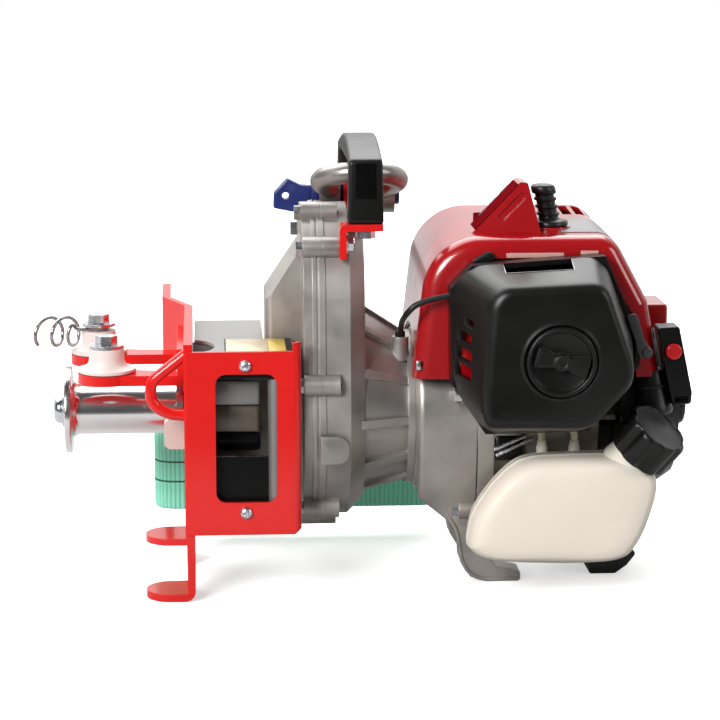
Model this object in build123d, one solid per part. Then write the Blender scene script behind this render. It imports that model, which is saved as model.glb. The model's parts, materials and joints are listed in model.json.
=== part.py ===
"""Engine winch: a portable capstan rope winch with a small four-stroke engine, in millimetres.

Frame: +Z up, origin on the ground under the middle of the outline. The drum and the crankshaft
lie on one axis along X, with the drum at -X and the starter at +X. The air cleaner faces -Y.
"""
import os
from math import acos, asin, cos, pi, radians, sin, sqrt, tan

from build123d import *

# Axes
AXIS_Z = 99.0
CENTRES = 67.5
LAY_Z = AXIS_Z + CENTRES
MODULE = 1.5

# Drum and rope guides
DRUM_R = 15.0
DRUM_X0 = -172.0
DRUM_X1 = -110.0
FLANGE_R = 26.0
INNER_FLANGE_R = 24.0
FLANGE_T = 4.0
SHAFT_R = 10.0
ROLLERS = {"near": (-150.0, -31.0), "far": (-157.0, 31.0)}
ROLLER_R = 17.0
ROLLER_WAIST_R = 10.3
ROLLER_H = 13.9
ARM_Z0 = 121.5
ARM_T = 6.0
BOLT_R = 4.0
WIRE_R = 1.2
COIL_R = 8.5
COIL_TURNS = 2.5
COIL_PITCH = 9.8
COIL_LEAN = 0.6
COIL_X = -166.7
COIL_Z = 141.0

# Frame plates
PLATE_T = 5.0
PLATE_X1 = -100.0
PLATE_X0 = PLATE_X1 - PLATE_T
PLATE_BOTTOM = 39.0
PLATE_JOG = 14.0
PLATE_GAP_Y = 86.0
PLATE_GAP_TOP = 76.0
LEG_Y0 = 8.0
LEG_Y1 = 36.0
GUARD_T = 3.0
GUARD_Y0 = -74.0
GUARD_X1 = -38.0
GUARD_TOP = 146.0
GUARD_BACK_Y = -68.4
SCREW_X = -70.0
SCREW_Z = (138.0, 52.0)
FOOT_T = 4.5
FOOT_Y0 = -75.0
FOOT_W = 30.0
LUG_X0 = -128.0

# Gear case
CASE_X0 = -36.0
CASE_PART_X = -25.0
CASE_X1 = -9.0
CASE_BACK_X = 0.0
CASE_R_LOW = 64.0
CASE_R_TOP = 56.0
CASE_WALL = 3.2
NOSE_X0 = -57.0
NOSE_Y = 24.0
SNOUT_R = 31.0
BELL_X1 = 30.0
BOSS_R = 6.4
BOSS_LOW_R = CASE_R_LOW + 2.0
BOSS_TOP_R = CASE_R_TOP + 0.5

# Handle, lug and shackle
DECK_Z = 212.0
DECK_T = 4.0
HANDLE_TOP = 262.5
HANDLE_EDGE = 253.0
HANDLE_Y0 = -56.0
HANDLE_Y1 = 70.0
HANDLE_W = 20.0
HANDLE_BAR = 12.5
HANDLE_LEG = 14.0
PIN_Y = 40.0
PIN_Z = 224.0
PIN_R = 7.9
BOW_R = 6.3
BOW_GAP = 20.6
BOW_INNER_R = 16.6
BOW_LENGTH = 42.0
BOW_LEAN = 72.0

# Engine
CRANK_X0 = 30.0
CRANK_PART_X = 66.0
CRANK_X1 = 122.0
CRANK_R = 50.0
CASE_BOLT_Z = AXIS_Z + 17
CASE_BOLT_Y = -sqrt((CRANK_R + 5) ** 2 - 17 ** 2)
STAND_BOLT_Y = -39.0
STAND_BOLT_Z = 44.0
CYL_X = 96.0
PLUG_X = 110.0
PLUG_Y = -22.0
SHROUD_Y = 58.0
SHROUD_T = 3.0
SHROUD_TOP = 214.5
SHROUD_FRONT_TOP = 207.5
BOOT_Z = 210.4
REAR_Y = -72.0
FRONT_Y = -110.0
REAR_OUTLINE = [(48, 126), (47, 181), (59, 194), (136, 199), (157, 150), (157, 136), (128, 97), (68, 96)]
FRONT_OUTLINE = [(63, 124), (67, 178), (74, 186), (131, 188), (147, 143), (147, 131), (124, 106), (63, 107)]
CHOKE_X = 160.8
CHOKE_Z = 143.0
KNOB_X = 106.0
KNOB_Z = 145.0
TANK_Y0 = -88.0
TANK_Y1 = -52.0
TANK_OUTLINE = [(55, 22.5), (60, 48), (88, 87), (160, 88), (170, 70), (154, 20.5)]
TANK_CORNER_R = 10.0
TANK_WALL = 3.0
HOSE_R = 1.7
CABLE_R = 1.5
CABLE_ROUTE = [(48, -65, 176), (30, -65, 173), (22, -65, 165), (22, -27, 153), (22, -27, 140)]
CABLE_SOCKET_Z = 146.0
CAP_BASE = (152.0, -73.0, 80.0)
CAP_AXIS = (0.53, -0.40, 0.75)
SWITCH_OUTLINE = [(169, 155), (181.7, 155.6), (190, 116.7), (189.5, 109.9), (178.5, 108.8)]
SWITCH_Y0 = -60.0
BUTTON_X = 178.4
BUTTON_Z = 141.2
SLING_X0 = -126.0
SLING_X1 = 56.0
SLING_Y0 = 77.0
SLING_Y1 = 107.0
SLING_Z0 = 20.0
SLING_W = 50.0
SLING_T = 2.8
SLING_BEND = 13.0
MAX_X = 196.0
MAX_Y = 116.0


def box(x0, x1, y0, y1, z0, z1):
    """Block between two corners."""
    return Pos((x0 + x1) / 2, (y0 + y1) / 2, (z0 + z1) / 2) * Box(x1 - x0, y1 - y0, z1 - z0)


def rod_x(x0, x1, r, y=0.0, z=AXIS_Z):
    """Round bar along X."""
    return Pos((x0 + x1) / 2, y, z) * Rot(0, 90, 0) * Cylinder(r, x1 - x0)


def rod_y(y0, y1, r, x, z):
    """Round bar along Y."""
    return Pos(x, (y0 + y1) / 2, z) * Rot(90, 0, 0) * Cylinder(r, y1 - y0)


def rod_z(z0, z1, r, x, y):
    """Round bar along Z."""
    return Pos(x, y, (z0 + z1) / 2) * Cylinder(r, z1 - z0)


def ring_x(x0, x1, r, bore, y=0.0, z=AXIS_Z):
    """Tube along X."""
    return rod_x(x0, x1, r, y, z) - rod_x(x0 - 1, x1 + 1, bore, y, z)


def hex_x(x0, x1, across, y, z):
    """Hexagon bar along X."""
    flat = Plane((x0, y, z), x_dir=(0, 1, 0), z_dir=(1, 0, 0)) * RegularPolygon(across / sqrt(3), 6)
    return extrude(flat, x1 - x0)


def hex_z(z0, z1, across, x, y):
    """Hexagon bar along Z."""
    return extrude(Pos(x, y, z0) * RegularPolygon(across / sqrt(3), 6), z1 - z0)


def slab_xz(points, y0, y1, radius=0.0):
    """Prism between two Y planes from an outline in X and Z, with every corner rounded."""
    face = make_face(Polyline(*[(x, 0, z) for x, z in points], close=True))
    if radius:
        face = fillet(face.vertices(), radius)
    prism = extrude(face, y1 - y0, dir=(0, 1, 0))
    return Pos(0, y0, 0) * prism


def slab_yz(points, x0, x1, radius=0.0):
    """Prism between two X planes from an outline in Y and Z."""
    face = make_face(Polyline(*[(0, y, z) for y, z in points], close=True))
    if radius:
        face = fillet(face.vertices(), radius)
    return Pos(x0, 0, 0) * extrude(face, x1 - x0, dir=(1, 0, 0))


def slab_xy(points, z0, z1, radius=0.0):
    """Prism between two heights from an outline in X and Y."""
    face = make_face(Polyline(*[(x, y, 0) for x, y in points], close=True))
    if radius:
        face = fillet(face.vertices(), radius)
    return Pos(0, 0, z0) * extrude(face, z1 - z0, dir=(0, 0, 1))


def inset_face(points, y, inset):
    """Face in one Y plane from an outline in X and Z, drawn inward."""
    face = make_face(Polyline(*[(x, y, z) for x, z in points], close=True))
    return offset(face, -inset, kind=Kind.INTERSECTION) if inset else face


def tube(points, r, radii):
    """Round tube along a route of straight runs joined by tangent arcs."""
    path = FilletPolyline(*points, radius=radii)
    start = path @ 0
    return sweep(Plane(start, z_dir=path % 0) * Circle(r), path=path)


def gear(teeth, width, x0, z, bore):
    """Spur gear along X with straight-sided teeth, one of them pointing along +Y."""
    pitch_r = MODULE * teeth / 2
    tip_r, root_r = pitch_r + 0.8 * MODULE, pitch_r - 1.25 * MODULE
    outline = []
    for k in range(teeth):
        mid = 2 * pi * k / teeth
        for r, half in ((root_r, 0.85), (tip_r, 0.32)):
            outline.append((r, mid - half * MODULE / r))
        for r, half in ((tip_r, 0.32), (root_r, 0.85)):
            outline.append((r, mid + half * MODULE / r))
    points = [(r * cos(a), z + r * sin(a)) for r, a in outline]
    body = slab_yz(points, x0, x0 + width)
    return body - rod_x(x0 - 1, x0 + width + 1, bore, 0, z)


def case_outline(grow):
    """Gear case outline in Y and Z: a low and a top circle with their outer tangents."""
    low, top = CASE_R_LOW + grow, CASE_R_TOP + grow
    lean = asin((low - top) / CENTRES)
    sides = [(low * cos(lean), AXIS_Z + low * sin(lean)), (top * cos(lean), LAY_Z + top * sin(lean))]
    flank = [(-y, z) for y, z in sides]
    corners = [flank[0], sides[0], sides[1], flank[1]]
    middle = make_face(Polyline(*[(0, y, z) for y, z in corners], close=True))
    plane = Plane((0, 0, 0), x_dir=(0, 1, 0), z_dir=(1, 0, 0))
    return middle + plane * Pos(0, AXIS_Z) * Circle(low) + plane * Pos(0, LAY_Z) * Circle(top)


def case_prism(x0, x1, grow):
    """Gear case outline as a prism along X."""
    return Pos(x0, 0, 0) * extrude(case_outline(grow), x1 - x0, dir=(1, 0, 0))


def disc_face(x, r, z):
    """Round face across X, for tapered noses and bells."""
    return Plane((x, 0, z), x_dir=(0, 1, 0), z_dir=(1, 0, 0)) * Circle(r)


def boss_places():
    """Y and Z of the bolt bosses round the gear case."""
    places = []
    for angle in (-128, -90, -52, 22, 158):
        places.append((BOSS_LOW_R * cos(radians(angle)), AXIS_Z + BOSS_LOW_R * sin(radians(angle))))
    for angle in (38, 112, 142):
        places.append((BOSS_TOP_R * cos(radians(angle)), LAY_Z + BOSS_TOP_R * sin(radians(angle))))
    return places


# Drum group

def capstan_drum():
    body = rod_x(DRUM_X0, DRUM_X1, DRUM_R)
    flare = rod_x(DRUM_X0, DRUM_X0 + 5, DRUM_R + 5)
    flare -= Pos(DRUM_X0 + 5, 0, AXIS_Z) * Rot(0, 90, 0) * Torus(DRUM_R + 5, 5)
    body = body + flare
    return body - rod_x(DRUM_X0 - 1, DRUM_X1 + 1, SHAFT_R)


def drum_flanges():
    outer = ring_x(DRUM_X0 - FLANGE_T, DRUM_X0, FLANGE_R, SHAFT_R)
    outer = fillet(outer.edges().filter_by(GeomType.CIRCLE).sort_by(lambda e: e.radius)[-2:], 1.2)
    inner = ring_x(DRUM_X1, DRUM_X1 + FLANGE_T, INNER_FLANGE_R, SHAFT_R)
    return Compound(children=[outer, inner])


def drum_end_bolt():
    face_x = DRUM_X0 - FLANGE_T
    washer = ring_x(face_x - 2, face_x, 10.5, 4)
    head = rod_x(face_x - 7, face_x - 2, 8.5)
    head = fillet(head.edges().sort_by(Axis.X)[0], 4.0)
    head -= hex_x(face_x - 8, face_x - 4.5, 5, 0, AXIS_Z)
    return Compound(children=[washer, head + rod_x(face_x - 2, face_x + 24, 4)])


def drum_shaft():
    shaft = rod_x(DRUM_X0 - FLANGE_T, -19.8, SHAFT_R)
    return shaft - rod_x(DRUM_X0 - FLANGE_T - 1, DRUM_X0 - FLANGE_T + 24, 4)


def countershaft():
    shaft = rod_x(-43.5, -1.6, 6, 0, LAY_Z)
    return shaft + gear(12, 12, -31.5, LAY_Z, 5)


def input_pinion():
    return rod_x(-17.5, 8, 7) + gear(24, 8.4, -17.5, AXIS_Z, 6)


def clutch_drum():
    cup = rod_x(5, 25, 37.5) - rod_x(8, 26, 35)
    return cup - rod_x(4, 9, 7)


def clutch_shoes():
    carrier = ring_x(11, 23, 15.5, 8)
    shoe = ring_x(11, 23, 33.6, 16.2) - box(0, 30, -3, 3, 0, 200)
    halves = [shoe & box(0, 30, 0, 60, 0, 200), shoe & box(0, 30, -60, 0, 0, 200)]
    return Compound(children=[carrier] + halves)


def shaft_bearings():
    seats = [
        (-98, 12, 17.5, SHAFT_R + 0.05, AXIS_Z),
        (-50, 12, 17.5, SHAFT_R + 0.05, AXIS_Z),
        (-44, 10, 11, 6.05, LAY_Z),
        (-7, 5.5, 10, 6.05, LAY_Z),
        (-6.5, 8, 13, 7.05, AXIS_Z),
        (32, 8, 16, 8.05, AXIS_Z),
        (117, 5, 16, 8.05, AXIS_Z),
    ]
    return Compound(children=[ring_x(x, x + w, r, bore, 0, z) for x, w, r, bore, z in seats])


# Gear case

def gear_case_front():
    shell = case_prism(CASE_X0, CASE_PART_X, 0)
    nose = loft([disc_face(CASE_X0 + 0.5, 58, 147), disc_face(NOSE_X0, 46, 127)])
    walls = [(NOSE_X0, -NOSE_Y), (NOSE_X0, NOSE_Y), (CASE_X0 + 6, NOSE_Y), (CASE_X0 + 6, -NOSE_Y)]
    nose &= slab_xy(walls, 50, 240, 4)
    snout = rod_x(PLATE_X1, NOSE_X0 + 4, SNOUT_R)
    for y, z in boss_places():
        shell += rod_x(CASE_X0, CASE_PART_X, BOSS_R, y, z)
    body = shell + nose + snout
    body -= case_prism(CASE_X0 + CASE_WALL, CASE_PART_X + 1, -CASE_WALL)
    body -= rod_x(PLATE_X1 - 1, -86, 17.5)
    body -= rod_x(-87, -49, 14)
    body -= rod_x(-50, -31, 17.5)
    body -= rod_x(-44, -31, 11, 0, LAY_Z)
    for y, z in boss_places():
        body -= rod_x(CASE_X0 - 1, CASE_PART_X + 1, 3, y, z)
    return body


def gear_case_rear():
    straight = case_prism(CASE_PART_X, CASE_X1, 0)
    bevel = loft([Pos(CASE_X1, 0, 0) * case_outline(0), Pos(CASE_BACK_X, 0, 0) * case_outline(-9)])
    body = straight + bevel
    for y, z in boss_places():
        body += rod_x(CASE_PART_X, -15, BOSS_R, y, z)
    body -= case_prism(CASE_PART_X - 1, -8.6, -CASE_WALL)
    wide = loft([disc_face(-2, 58, 105), disc_face(BELL_X1 - 3, 45, AXIS_Z)])
    slim = loft([disc_face(-2, 55, 105), disc_face(BELL_X1 - 3, 42.5, AXIS_Z)])
    ribs = [
        Pos(14, 0, AXIS_Z) * Rot(angle, 0, 0) * Box(40, 5, 150)
        for angle in range(0, 180, 30)
    ]
    bell = slim + (wide & (ribs[0] + ribs[1:])) + rod_x(BELL_X1 - 4, BELL_X1, 46)
    cable_x, cable_y, cable_z = CABLE_ROUTE[-1]
    bell += rod_z(132, CABLE_SOCKET_Z, 5, cable_x, cable_y)
    body += bell
    body -= rod_x(3, BELL_X1 + 1, 39.5)
    body -= rod_x(-9, 4, 7.4)
    body -= rod_x(-9, 1.5, 13)
    body -= rod_x(-9, -1.5, 10, 0, LAY_Z)
    body -= box(CASE_X1, 5, -70, 70, DECK_Z - 1, 240)
    body -= rod_z(cable_z, CABLE_SOCKET_Z + 1, CABLE_R, cable_x, cable_y)
    for y, z in boss_places():
        body -= rod_x(CASE_PART_X - 1, -14, 3, y, z)
    return body


def case_bolts():
    bolts = []
    for y, z in boss_places():
        bolts.append(hex_x(CASE_X0 - 4, CASE_X0, 8, y, z) + rod_x(CASE_X0, -15, 3, y, z))
    return Compound(children=bolts)


# Frame plates and guides

def chassis_plate():
    """Joggled plate whose far end reaches down as a strip for the sling."""
    near, jog, far = GUARD_Y0 + GUARD_T, 38.0, 100.0
    x0, x1 = PLATE_X0 - PLATE_JOG, PLATE_X1 - PLATE_JOG
    plan = [
        (PLATE_X0, near), (PLATE_X0, jog + 0.7), (x0, jog + 26.7), (x0, far),
        (x1, far), (x1, jog + 25.3), (PLATE_X1, jog - 0.7), (PLATE_X1, near),
    ]
    side = [
        (near, PLATE_BOTTOM), (near, 150), (jog, 155), (jog + 26, 156.5), (far, 159), (far, 24),
        (PLATE_GAP_Y, 24), (PLATE_GAP_Y, PLATE_GAP_TOP), (jog, PLATE_GAP_TOP), (jog, PLATE_BOTTOM),
        (LEG_Y1, PLATE_BOTTOM), (LEG_Y1, 0), (LEG_Y0, 0), (LEG_Y0, PLATE_BOTTOM),
    ]
    plate = slab_xy(plan, 0, 170) & slab_yz(side, -140, -80)
    return plate - rod_x(-130, -90, 17.6)


def side_guard():
    """Bent sheet: a windowed front and a flange turned back along the gear case."""
    crest = GUARD_TOP + 5
    front = box(PLATE_X0 + 1, GUARD_X1, GUARD_Y0, GUARD_Y0 + GUARD_T, PLATE_BOTTOM, crest)
    body = front + box(GUARD_X1 - GUARD_T, GUARD_X1, GUARD_Y0, GUARD_BACK_Y, PLATE_BOTTOM, crest)
    upright = body.edges().filter_by(Axis.Z)
    bend = [e for e in upright if e.center().X > GUARD_X1 - 0.1 and e.center().Y < GUARD_Y0 + 0.1]
    body = fillet(bend, 4.5)
    body -= box(-120, GUARD_X1 - 5, GUARD_Y0 - 1, GUARD_Y0 + 2 * GUARD_T, GUARD_TOP, crest + 1)
    window = [(-87, 58), (-87, 133), (-52, 133), (-52, 58)]
    body -= slab_xz(window, GUARD_Y0 - 1, GUARD_Y0 + GUARD_T + 1, 6)
    low = PLATE_BOTTOM - 1
    heel = [(GUARD_X1 - 5, low), (GUARD_X1 + 1, low), (GUARD_X1 + 1, low + 5)]
    body -= slab_xz(heel, GUARD_Y0 - 1, GUARD_BACK_Y + 1)
    for z in SCREW_Z:
        body -= rod_y(GUARD_Y0 - 1, GUARD_Y0 + GUARD_T + 1, 2, SCREW_X, z)
    return body


def guard_screws():
    screws = []
    for z in SCREW_Z:
        head = rod_y(GUARD_Y0 - 2.6, GUARD_Y0, 3.6, SCREW_X, z)
        head = fillet(head.edges().sort_by(Axis.Y)[0], 1.6)
        head -= box(SCREW_X - 2, SCREW_X + 2, GUARD_Y0 - 3, GUARD_Y0 - 1.4, z - 0.5, z + 0.5)
        head -= box(SCREW_X - 0.5, SCREW_X + 0.5, GUARD_Y0 - 3, GUARD_Y0 - 1.4, z - 2, z + 2)
        screws.append(head + rod_y(GUARD_Y0, GUARD_Y0 + 12, 2, SCREW_X, z))
    return Compound(children=screws)


def top_cover_plate():
    plan = [(-99, -70.5), (-42, -70.5), (-42, -26), (-58.5, -26), (-58.5, 42), (-99, 42)]
    plate = slab_xy(plan, 143, 145)
    plate += box(-99, -45, -70.5, -68.5, 130, 145)
    plate -= extrude(Pos(-99, -48, 142) * Ellipse(12, 20), 4)
    return plate - rod_y(-75, -60, 2, SCREW_X, SCREW_Z[0])


def inner_cover_plate():
    panel = box(-99, -44, -67, -65, 45, 84)
    shelf = box(-99, -59, -67, 40, 45, 47)
    return panel + shelf - rod_y(-75, -60, 2, SCREW_X, SCREW_Z[1])


def foot_bracket():
    web_x0, web_x1 = PLATE_X0 + 1, PLATE_X0 + 1 + FOOT_T
    y1 = FOOT_Y0 + FOOT_W
    strip = box(web_x0, web_x1, FOOT_Y0, y1, 0, PLATE_BOTTOM)
    strip += box(LUG_X0, web_x1, FOOT_Y0, y1, 0, FOOT_T)
    along = strip.edges().filter_by(Axis.Y)
    corner = [e for e in along if e.center().X > web_x1 - 0.1 and e.center().Z < 0.1]
    strip = fillet(corner, 6.0)
    lug = box(LUG_X0, web_x0, FOOT_Y0, y1, 33.5, 33.5 + FOOT_T - 0.5)
    mid_y, end_x = FOOT_Y0 + FOOT_W / 2, LUG_X0 + FOOT_W / 2
    plan = box(end_x, web_x1, FOOT_Y0, y1, -1, 60) + rod_z(-1, 60, FOOT_W / 2, end_x, mid_y)
    return (strip + lug) & plan


def guide_loop():
    y = GUARD_Y0 + 9
    route = [
        (PLATE_X0 + 5, y, 146.4), (-124.2, y, 127.5), (-123.6, y, 114), (-113, y, 108.6),
        (PLATE_X0 + 5, y, 107.6),
    ]
    loop = tube(route, 3.3, [11, 11, 16])
    return loop - box(PLATE_X0, PLATE_X0 + 20, y - 10, y + 10, 95, 160)


def rope_stripper():
    block = box(-117, PLATE_X0, -38, -30, 82, 100)
    edges = [e for e in block.edges().filter_by(Axis.Y) if e.center().X < -116]
    return chamfer(edges, 2.5)


def roller_arm():
    top = ARM_Z0 + ARM_T
    arm = None
    for sign, reach, (x, y) in ((-1, 46, ROLLERS["near"]), (1, 37, ROLLERS["far"])):
        inner, outer = sign * (reach - 14), sign * reach
        neck = [(x, y - sign * 8), (PLATE_X0, inner), (PLATE_X0, outer), (x, y + sign * 15)]
        blade = slab_xy(neck, ARM_Z0, top) + rod_z(ARM_Z0, top, ROLLER_R, x, y)
        blade += box(PLATE_X0 - 4, PLATE_X0, min(inner, outer), max(inner, outer), ARM_Z0, 143)
        blade -= rod_z(ARM_Z0 - 1, top + 1, BOLT_R, x, y)
        arm = blade if arm is None else arm + blade
    return arm + box(PLATE_X0 - 4, PLATE_X0, -40, 30, 126, 143)


def guide_roller(name):
    """Spool with a wide lower flange that sweeps up into a narrow waist."""
    x, y = ROLLERS[name]
    z0 = ARM_Z0 + ARM_T + 0.3
    z1 = z0 + ROLLER_H
    spool = rod_z(z0, z0 + 2.2, ROLLER_R, x, y) + rod_z(z0 + 2, z1, ROLLER_WAIST_R, x, y)
    circles = spool.edges().filter_by(GeomType.CIRCLE)
    corner = [e for e in circles if abs(e.radius - ROLLER_WAIST_R) < 0.01 and e.center().Z < z0 + 3]
    spool = fillet(corner, 5.6)
    rims = [e for e in spool.edges().filter_by(GeomType.CIRCLE) if abs(e.radius - ROLLER_R) < 0.01]
    spool = fillet(rims, 0.5)
    return spool - rod_z(z0 - 1, z1 + 1, BOLT_R + 0.05, x, y)


def roller_bolts():
    pieces = []
    top = ARM_Z0 + ARM_T + ROLLER_H + 0.6
    for name, lift in (("near", 0.0), ("far", 2 * WIRE_R)):
        x, y = ROLLERS[name]
        base = top + lift
        washer = rod_z(base, base + 1.6, 10, x, y) - rod_z(base - 1, base + 3, BOLT_R, x, y)
        bolt = hex_z(base + 1.6, base + 7, 11, x, y) + rod_z(ARM_Z0 - 1, base + 1.6, BOLT_R, x, y)
        pieces += [washer, bolt]
    return Compound(children=pieces)


def unit(v):
    return v * (1 / v.length)


def arc_from(p0, p1, tangent):
    """Arc between two points that leaves the first along a given direction."""
    chord = p1 - p0
    along = unit(chord)
    side = tangent - along * tangent.dot(along)
    if side.length < 1e-6:
        return Line(p0, p1)
    angle = acos(max(-1.0, min(1.0, tangent.dot(along))))
    middle = (p0 + p1) * 0.5 + unit(side) * (chord.length / 2 * tan(angle / 2))
    return ThreePointArc(p0, middle, p1)


def biarc(p0, t0, p1, t1):
    """Two arcs that join two points and keep both directions."""
    gap, both = p1 - p0, t0 + t1
    a, b, c = 2 * (1 - t0.dot(t1)), 2 * gap.dot(both), -gap.dot(gap)
    reach = -c / b if a < 1e-9 else (-b + sqrt(b * b - 4 * a * c)) / (2 * a)
    q0, q1 = p0 + t0 * reach, p1 - t1 * reach
    joint = (q0 + q1) * 0.5
    return [arc_from(p0, joint, t0), arc_from(joint, p1, unit(q1 - q0))]


def pigtail_points():
    """Points and directions along the wire: eye round the far bolt, tail, coil of leaning turns."""
    bolt_x, bolt_y = ROLLERS["far"]
    eye_r = BOLT_R + WIRE_R + 0.3
    eye_z = ARM_Z0 + ARM_T + ROLLER_H + 0.6 + WIRE_R
    stops = []
    for angle in (100, 10, -80):
        a = radians(angle)
        place = Vector(bolt_x + eye_r * cos(a), bolt_y + eye_r * sin(a), eye_z)
        stops.append((place, Vector(sin(a), -cos(a), 0)))
    stops.append((Vector(bolt_x - 11, bolt_y - eye_r - 1.5, eye_z), Vector(-1, 0, 0)))
    slope = COIL_PITCH / (2 * pi * COIL_R)
    for k in range(2, int(COIL_TURNS * 8) + 1):
        a = radians(60 + 45 * k)
        x = COIL_X - COIL_PITCH * k / 8 + COIL_LEAN * COIL_R * cos(a)
        place = Vector(x, bolt_y + COIL_R * cos(a), COIL_Z + COIL_R * sin(a))
        stops.append((place, unit(Vector(-slope - COIL_LEAN * sin(a), -sin(a), cos(a)))))
    return stops


def pigtail_guide():
    stops = pigtail_points()
    edges = []
    for (p0, t0), (p1, t1) in zip(stops, stops[1:]):
        edges += biarc(p0, t0, p1, t1)
    path = Wire(edges)
    points = [path.position_at(k / 400) for k in range(401)]
    length = path.length
    apart = int(400 * 6 * WIRE_R / length) + 1
    pairs = [(i, j) for i in range(401) for j in range(i + apart, 401)]
    gap = min((points[i] - points[j]).length for i, j in pairs) - 2 * WIRE_R
    print("pigtail wire length", round(length, 1), "least gap between its turns", round(gap, 2))
    start = stops[0]
    return sweep(Plane(start[0], z_dir=start[1]) * Circle(WIRE_R), path=path)


# Handle, anchor lug and shackle

def handle_bracket():
    top = DECK_Z + DECK_T
    plan = [
        (10, HANDLE_Y0), (10, HANDLE_Y1), (-12, HANDLE_Y1), (-12, 54),
        (-8.5, 54), (-8.5, -41), (-15, -41), (-15, HANDLE_Y0),
    ]
    deck = slab_xy(plan, DECK_Z, top)
    ears = box(-15, -11, HANDLE_Y0, -48, 196, top)
    ears += box(-12, -8.4, 54, HANDLE_Y1, 190, top)
    lug = box(-8, 8, PIN_Y - 11, PIN_Y + 11, top, PIN_Z) + rod_x(-8, 8, 11, PIN_Y, PIN_Z)
    body = deck + ears + lug - rod_x(-9, 9, PIN_R + 0.05, PIN_Y, PIN_Z)
    corner = [e for e in body.edges().filter_by(Axis.Y) if e.center().X < -14.9 and e.center().Z > top - 0.1]
    body = fillet(corner, 3.5)
    for y in (HANDLE_Y0 + 7, HANDLE_Y1 - 7):
        body -= rod_z(DECK_Z - 1, top + 1, 3, 0, y)
    return body


def carry_handle():
    top = DECK_Z + DECK_T
    low = top - 30
    crest = HANDLE_TOP - HANDLE_BAR
    in0, in1 = HANDLE_Y0 + HANDLE_LEG, HANDLE_Y1 - HANDLE_LEG
    rim = [
        (HANDLE_Y0, low), (HANDLE_Y0, HANDLE_EDGE), (HANDLE_Y0 + 42, HANDLE_TOP),
        (HANDLE_Y1 - 50, HANDLE_TOP), (HANDLE_Y1, HANDLE_EDGE), (HANDLE_Y1, low),
    ]
    outer = slab_yz(rim, -HANDLE_W / 2, HANDLE_W / 2, 6)
    inner = slab_yz([(in0, low), (in0, crest), (in1, crest), (in1, low)], -20, 20, 4.5)
    bow = outer - inner - box(-20, 20, -90, 90, 100, top)
    rims = [e for e in bow.edges() if abs(e.center().X) > HANDLE_W / 2 - 0.1 and e.center().Z > top + 1]
    bow = fillet(rims, 2.5)
    for y in (HANDLE_Y0 + 7, HANDLE_Y1 - 7):
        bow -= rod_z(top - 1, top + 22, 3, 0, y)
    return bow


def handle_bolts():
    bolts = []
    for y in (HANDLE_Y0 + 7, HANDLE_Y1 - 7):
        bolts.append(hex_z(DECK_Z - 4.5, DECK_Z, 10, 0, y) + rod_z(DECK_Z - 4.5, DECK_Z + 25, 3, 0, y))
    return Compound(children=bolts)


def shackle_bow():
    """Bow in the XZ plane above its pin, then leaned forward over the gear case."""
    eye_x = BOW_GAP / 2 + BOW_R
    crown_r = BOW_INNER_R + BOW_R
    crown_z = BOW_LENGTH + PIN_R - BOW_INNER_R
    foot, shoulder = Vector(-eye_x, 0, 9), Vector(-crown_r, 0, crown_z)
    far_foot, far_shoulder = Vector(eye_x, 0, 9), Vector(crown_r, 0, crown_z)
    left = biarc(foot, unit(Vector(-0.1, 0, 1)), shoulder, Vector(0, 0, 1))
    arch = ThreePointArc(shoulder, (0, 0, crown_z + crown_r), far_shoulder)
    right = biarc(far_shoulder, Vector(0, 0, -1), far_foot, unit(Vector(-0.1, 0, -1)))
    path = Wire(left + [arch] + right)
    bar = sweep(Plane(foot, z_dir=path % 0) * Circle(BOW_R), path=path)
    for sign in (-1, 1):
        x0 = sign * eye_x - BOW_R
        bar += rod_x(x0, x0 + 2 * BOW_R, 13, 0, 0)
    bar -= rod_x(-40, 40, PIN_R + 0.05, 0, 0)
    return Pos(0, PIN_Y, PIN_Z) * Rot(BOW_LEAN, 0, 0) * bar


def shackle_pin():
    side = BOW_GAP / 2 + 2 * BOW_R
    pin = rod_x(-side - 0.3, side + 3, PIN_R, PIN_Y, PIN_Z)
    collar = rod_x(-side - 4.3, -side - 0.3, 10, PIN_Y, PIN_Z)
    paddle = [
        (-27, PIN_Z - 4), (-27, PIN_Z + 4), (-34, PIN_Z + 4.5), (-42, PIN_Z + 8.5),
        (-50, PIN_Z), (-50.5, PIN_Z - 9.5), (-38, PIN_Z - 12),
    ]
    head = slab_xz(paddle, PIN_Y - 4, PIN_Y + 4, 1.5)
    head = fillet([e for e in head.edges() if abs(abs(e.center().Y - PIN_Y) - 4) < 0.01], 1.2)
    return pin + collar + head - rod_y(PIN_Y - 5, PIN_Y + 5, 2.2, -43, PIN_Z - 2)


# Engine block

def crankcase_front():
    body = rod_x(CRANK_X0, CRANK_PART_X, CRANK_R)
    body = fillet(body.edges().filter_by(GeomType.CIRCLE).sort_by(Axis.X)[0], 5)
    body += box(CRANK_X0 + 4, CRANK_PART_X, -34, 34, AXIS_Z, 150)
    body += rod_x(CRANK_X0 + 26, CRANK_PART_X, 6, CASE_BOLT_Y, CASE_BOLT_Z)
    body -= rod_x(CRANK_X0 + 10, CRANK_PART_X + 1, 44)
    body -= rod_x(CRANK_X0 - 1, CRANK_X0 + 11, 8.5)
    body -= rod_x(CRANK_X0 + 2, CRANK_X0 + 11, 16)
    return body


def crankcase_rear():
    body = rod_x(CRANK_PART_X, CRANK_X1, CRANK_R)
    body += box(CRANK_PART_X, CRANK_X1, -34, 34, AXIS_Z, 150)
    body += rod_x(CRANK_PART_X, CRANK_PART_X + 12, 6, CASE_BOLT_Y, CASE_BOLT_Z)
    body -= rod_x(CRANK_PART_X - 1, CRANK_X1 - 5, 44)
    body -= rod_x(CRANK_X1 - 6, CRANK_X1 + 1, 16)
    body -= rod_z(AXIS_Z + 20, 160, 20, CYL_X, 0)
    return body


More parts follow.
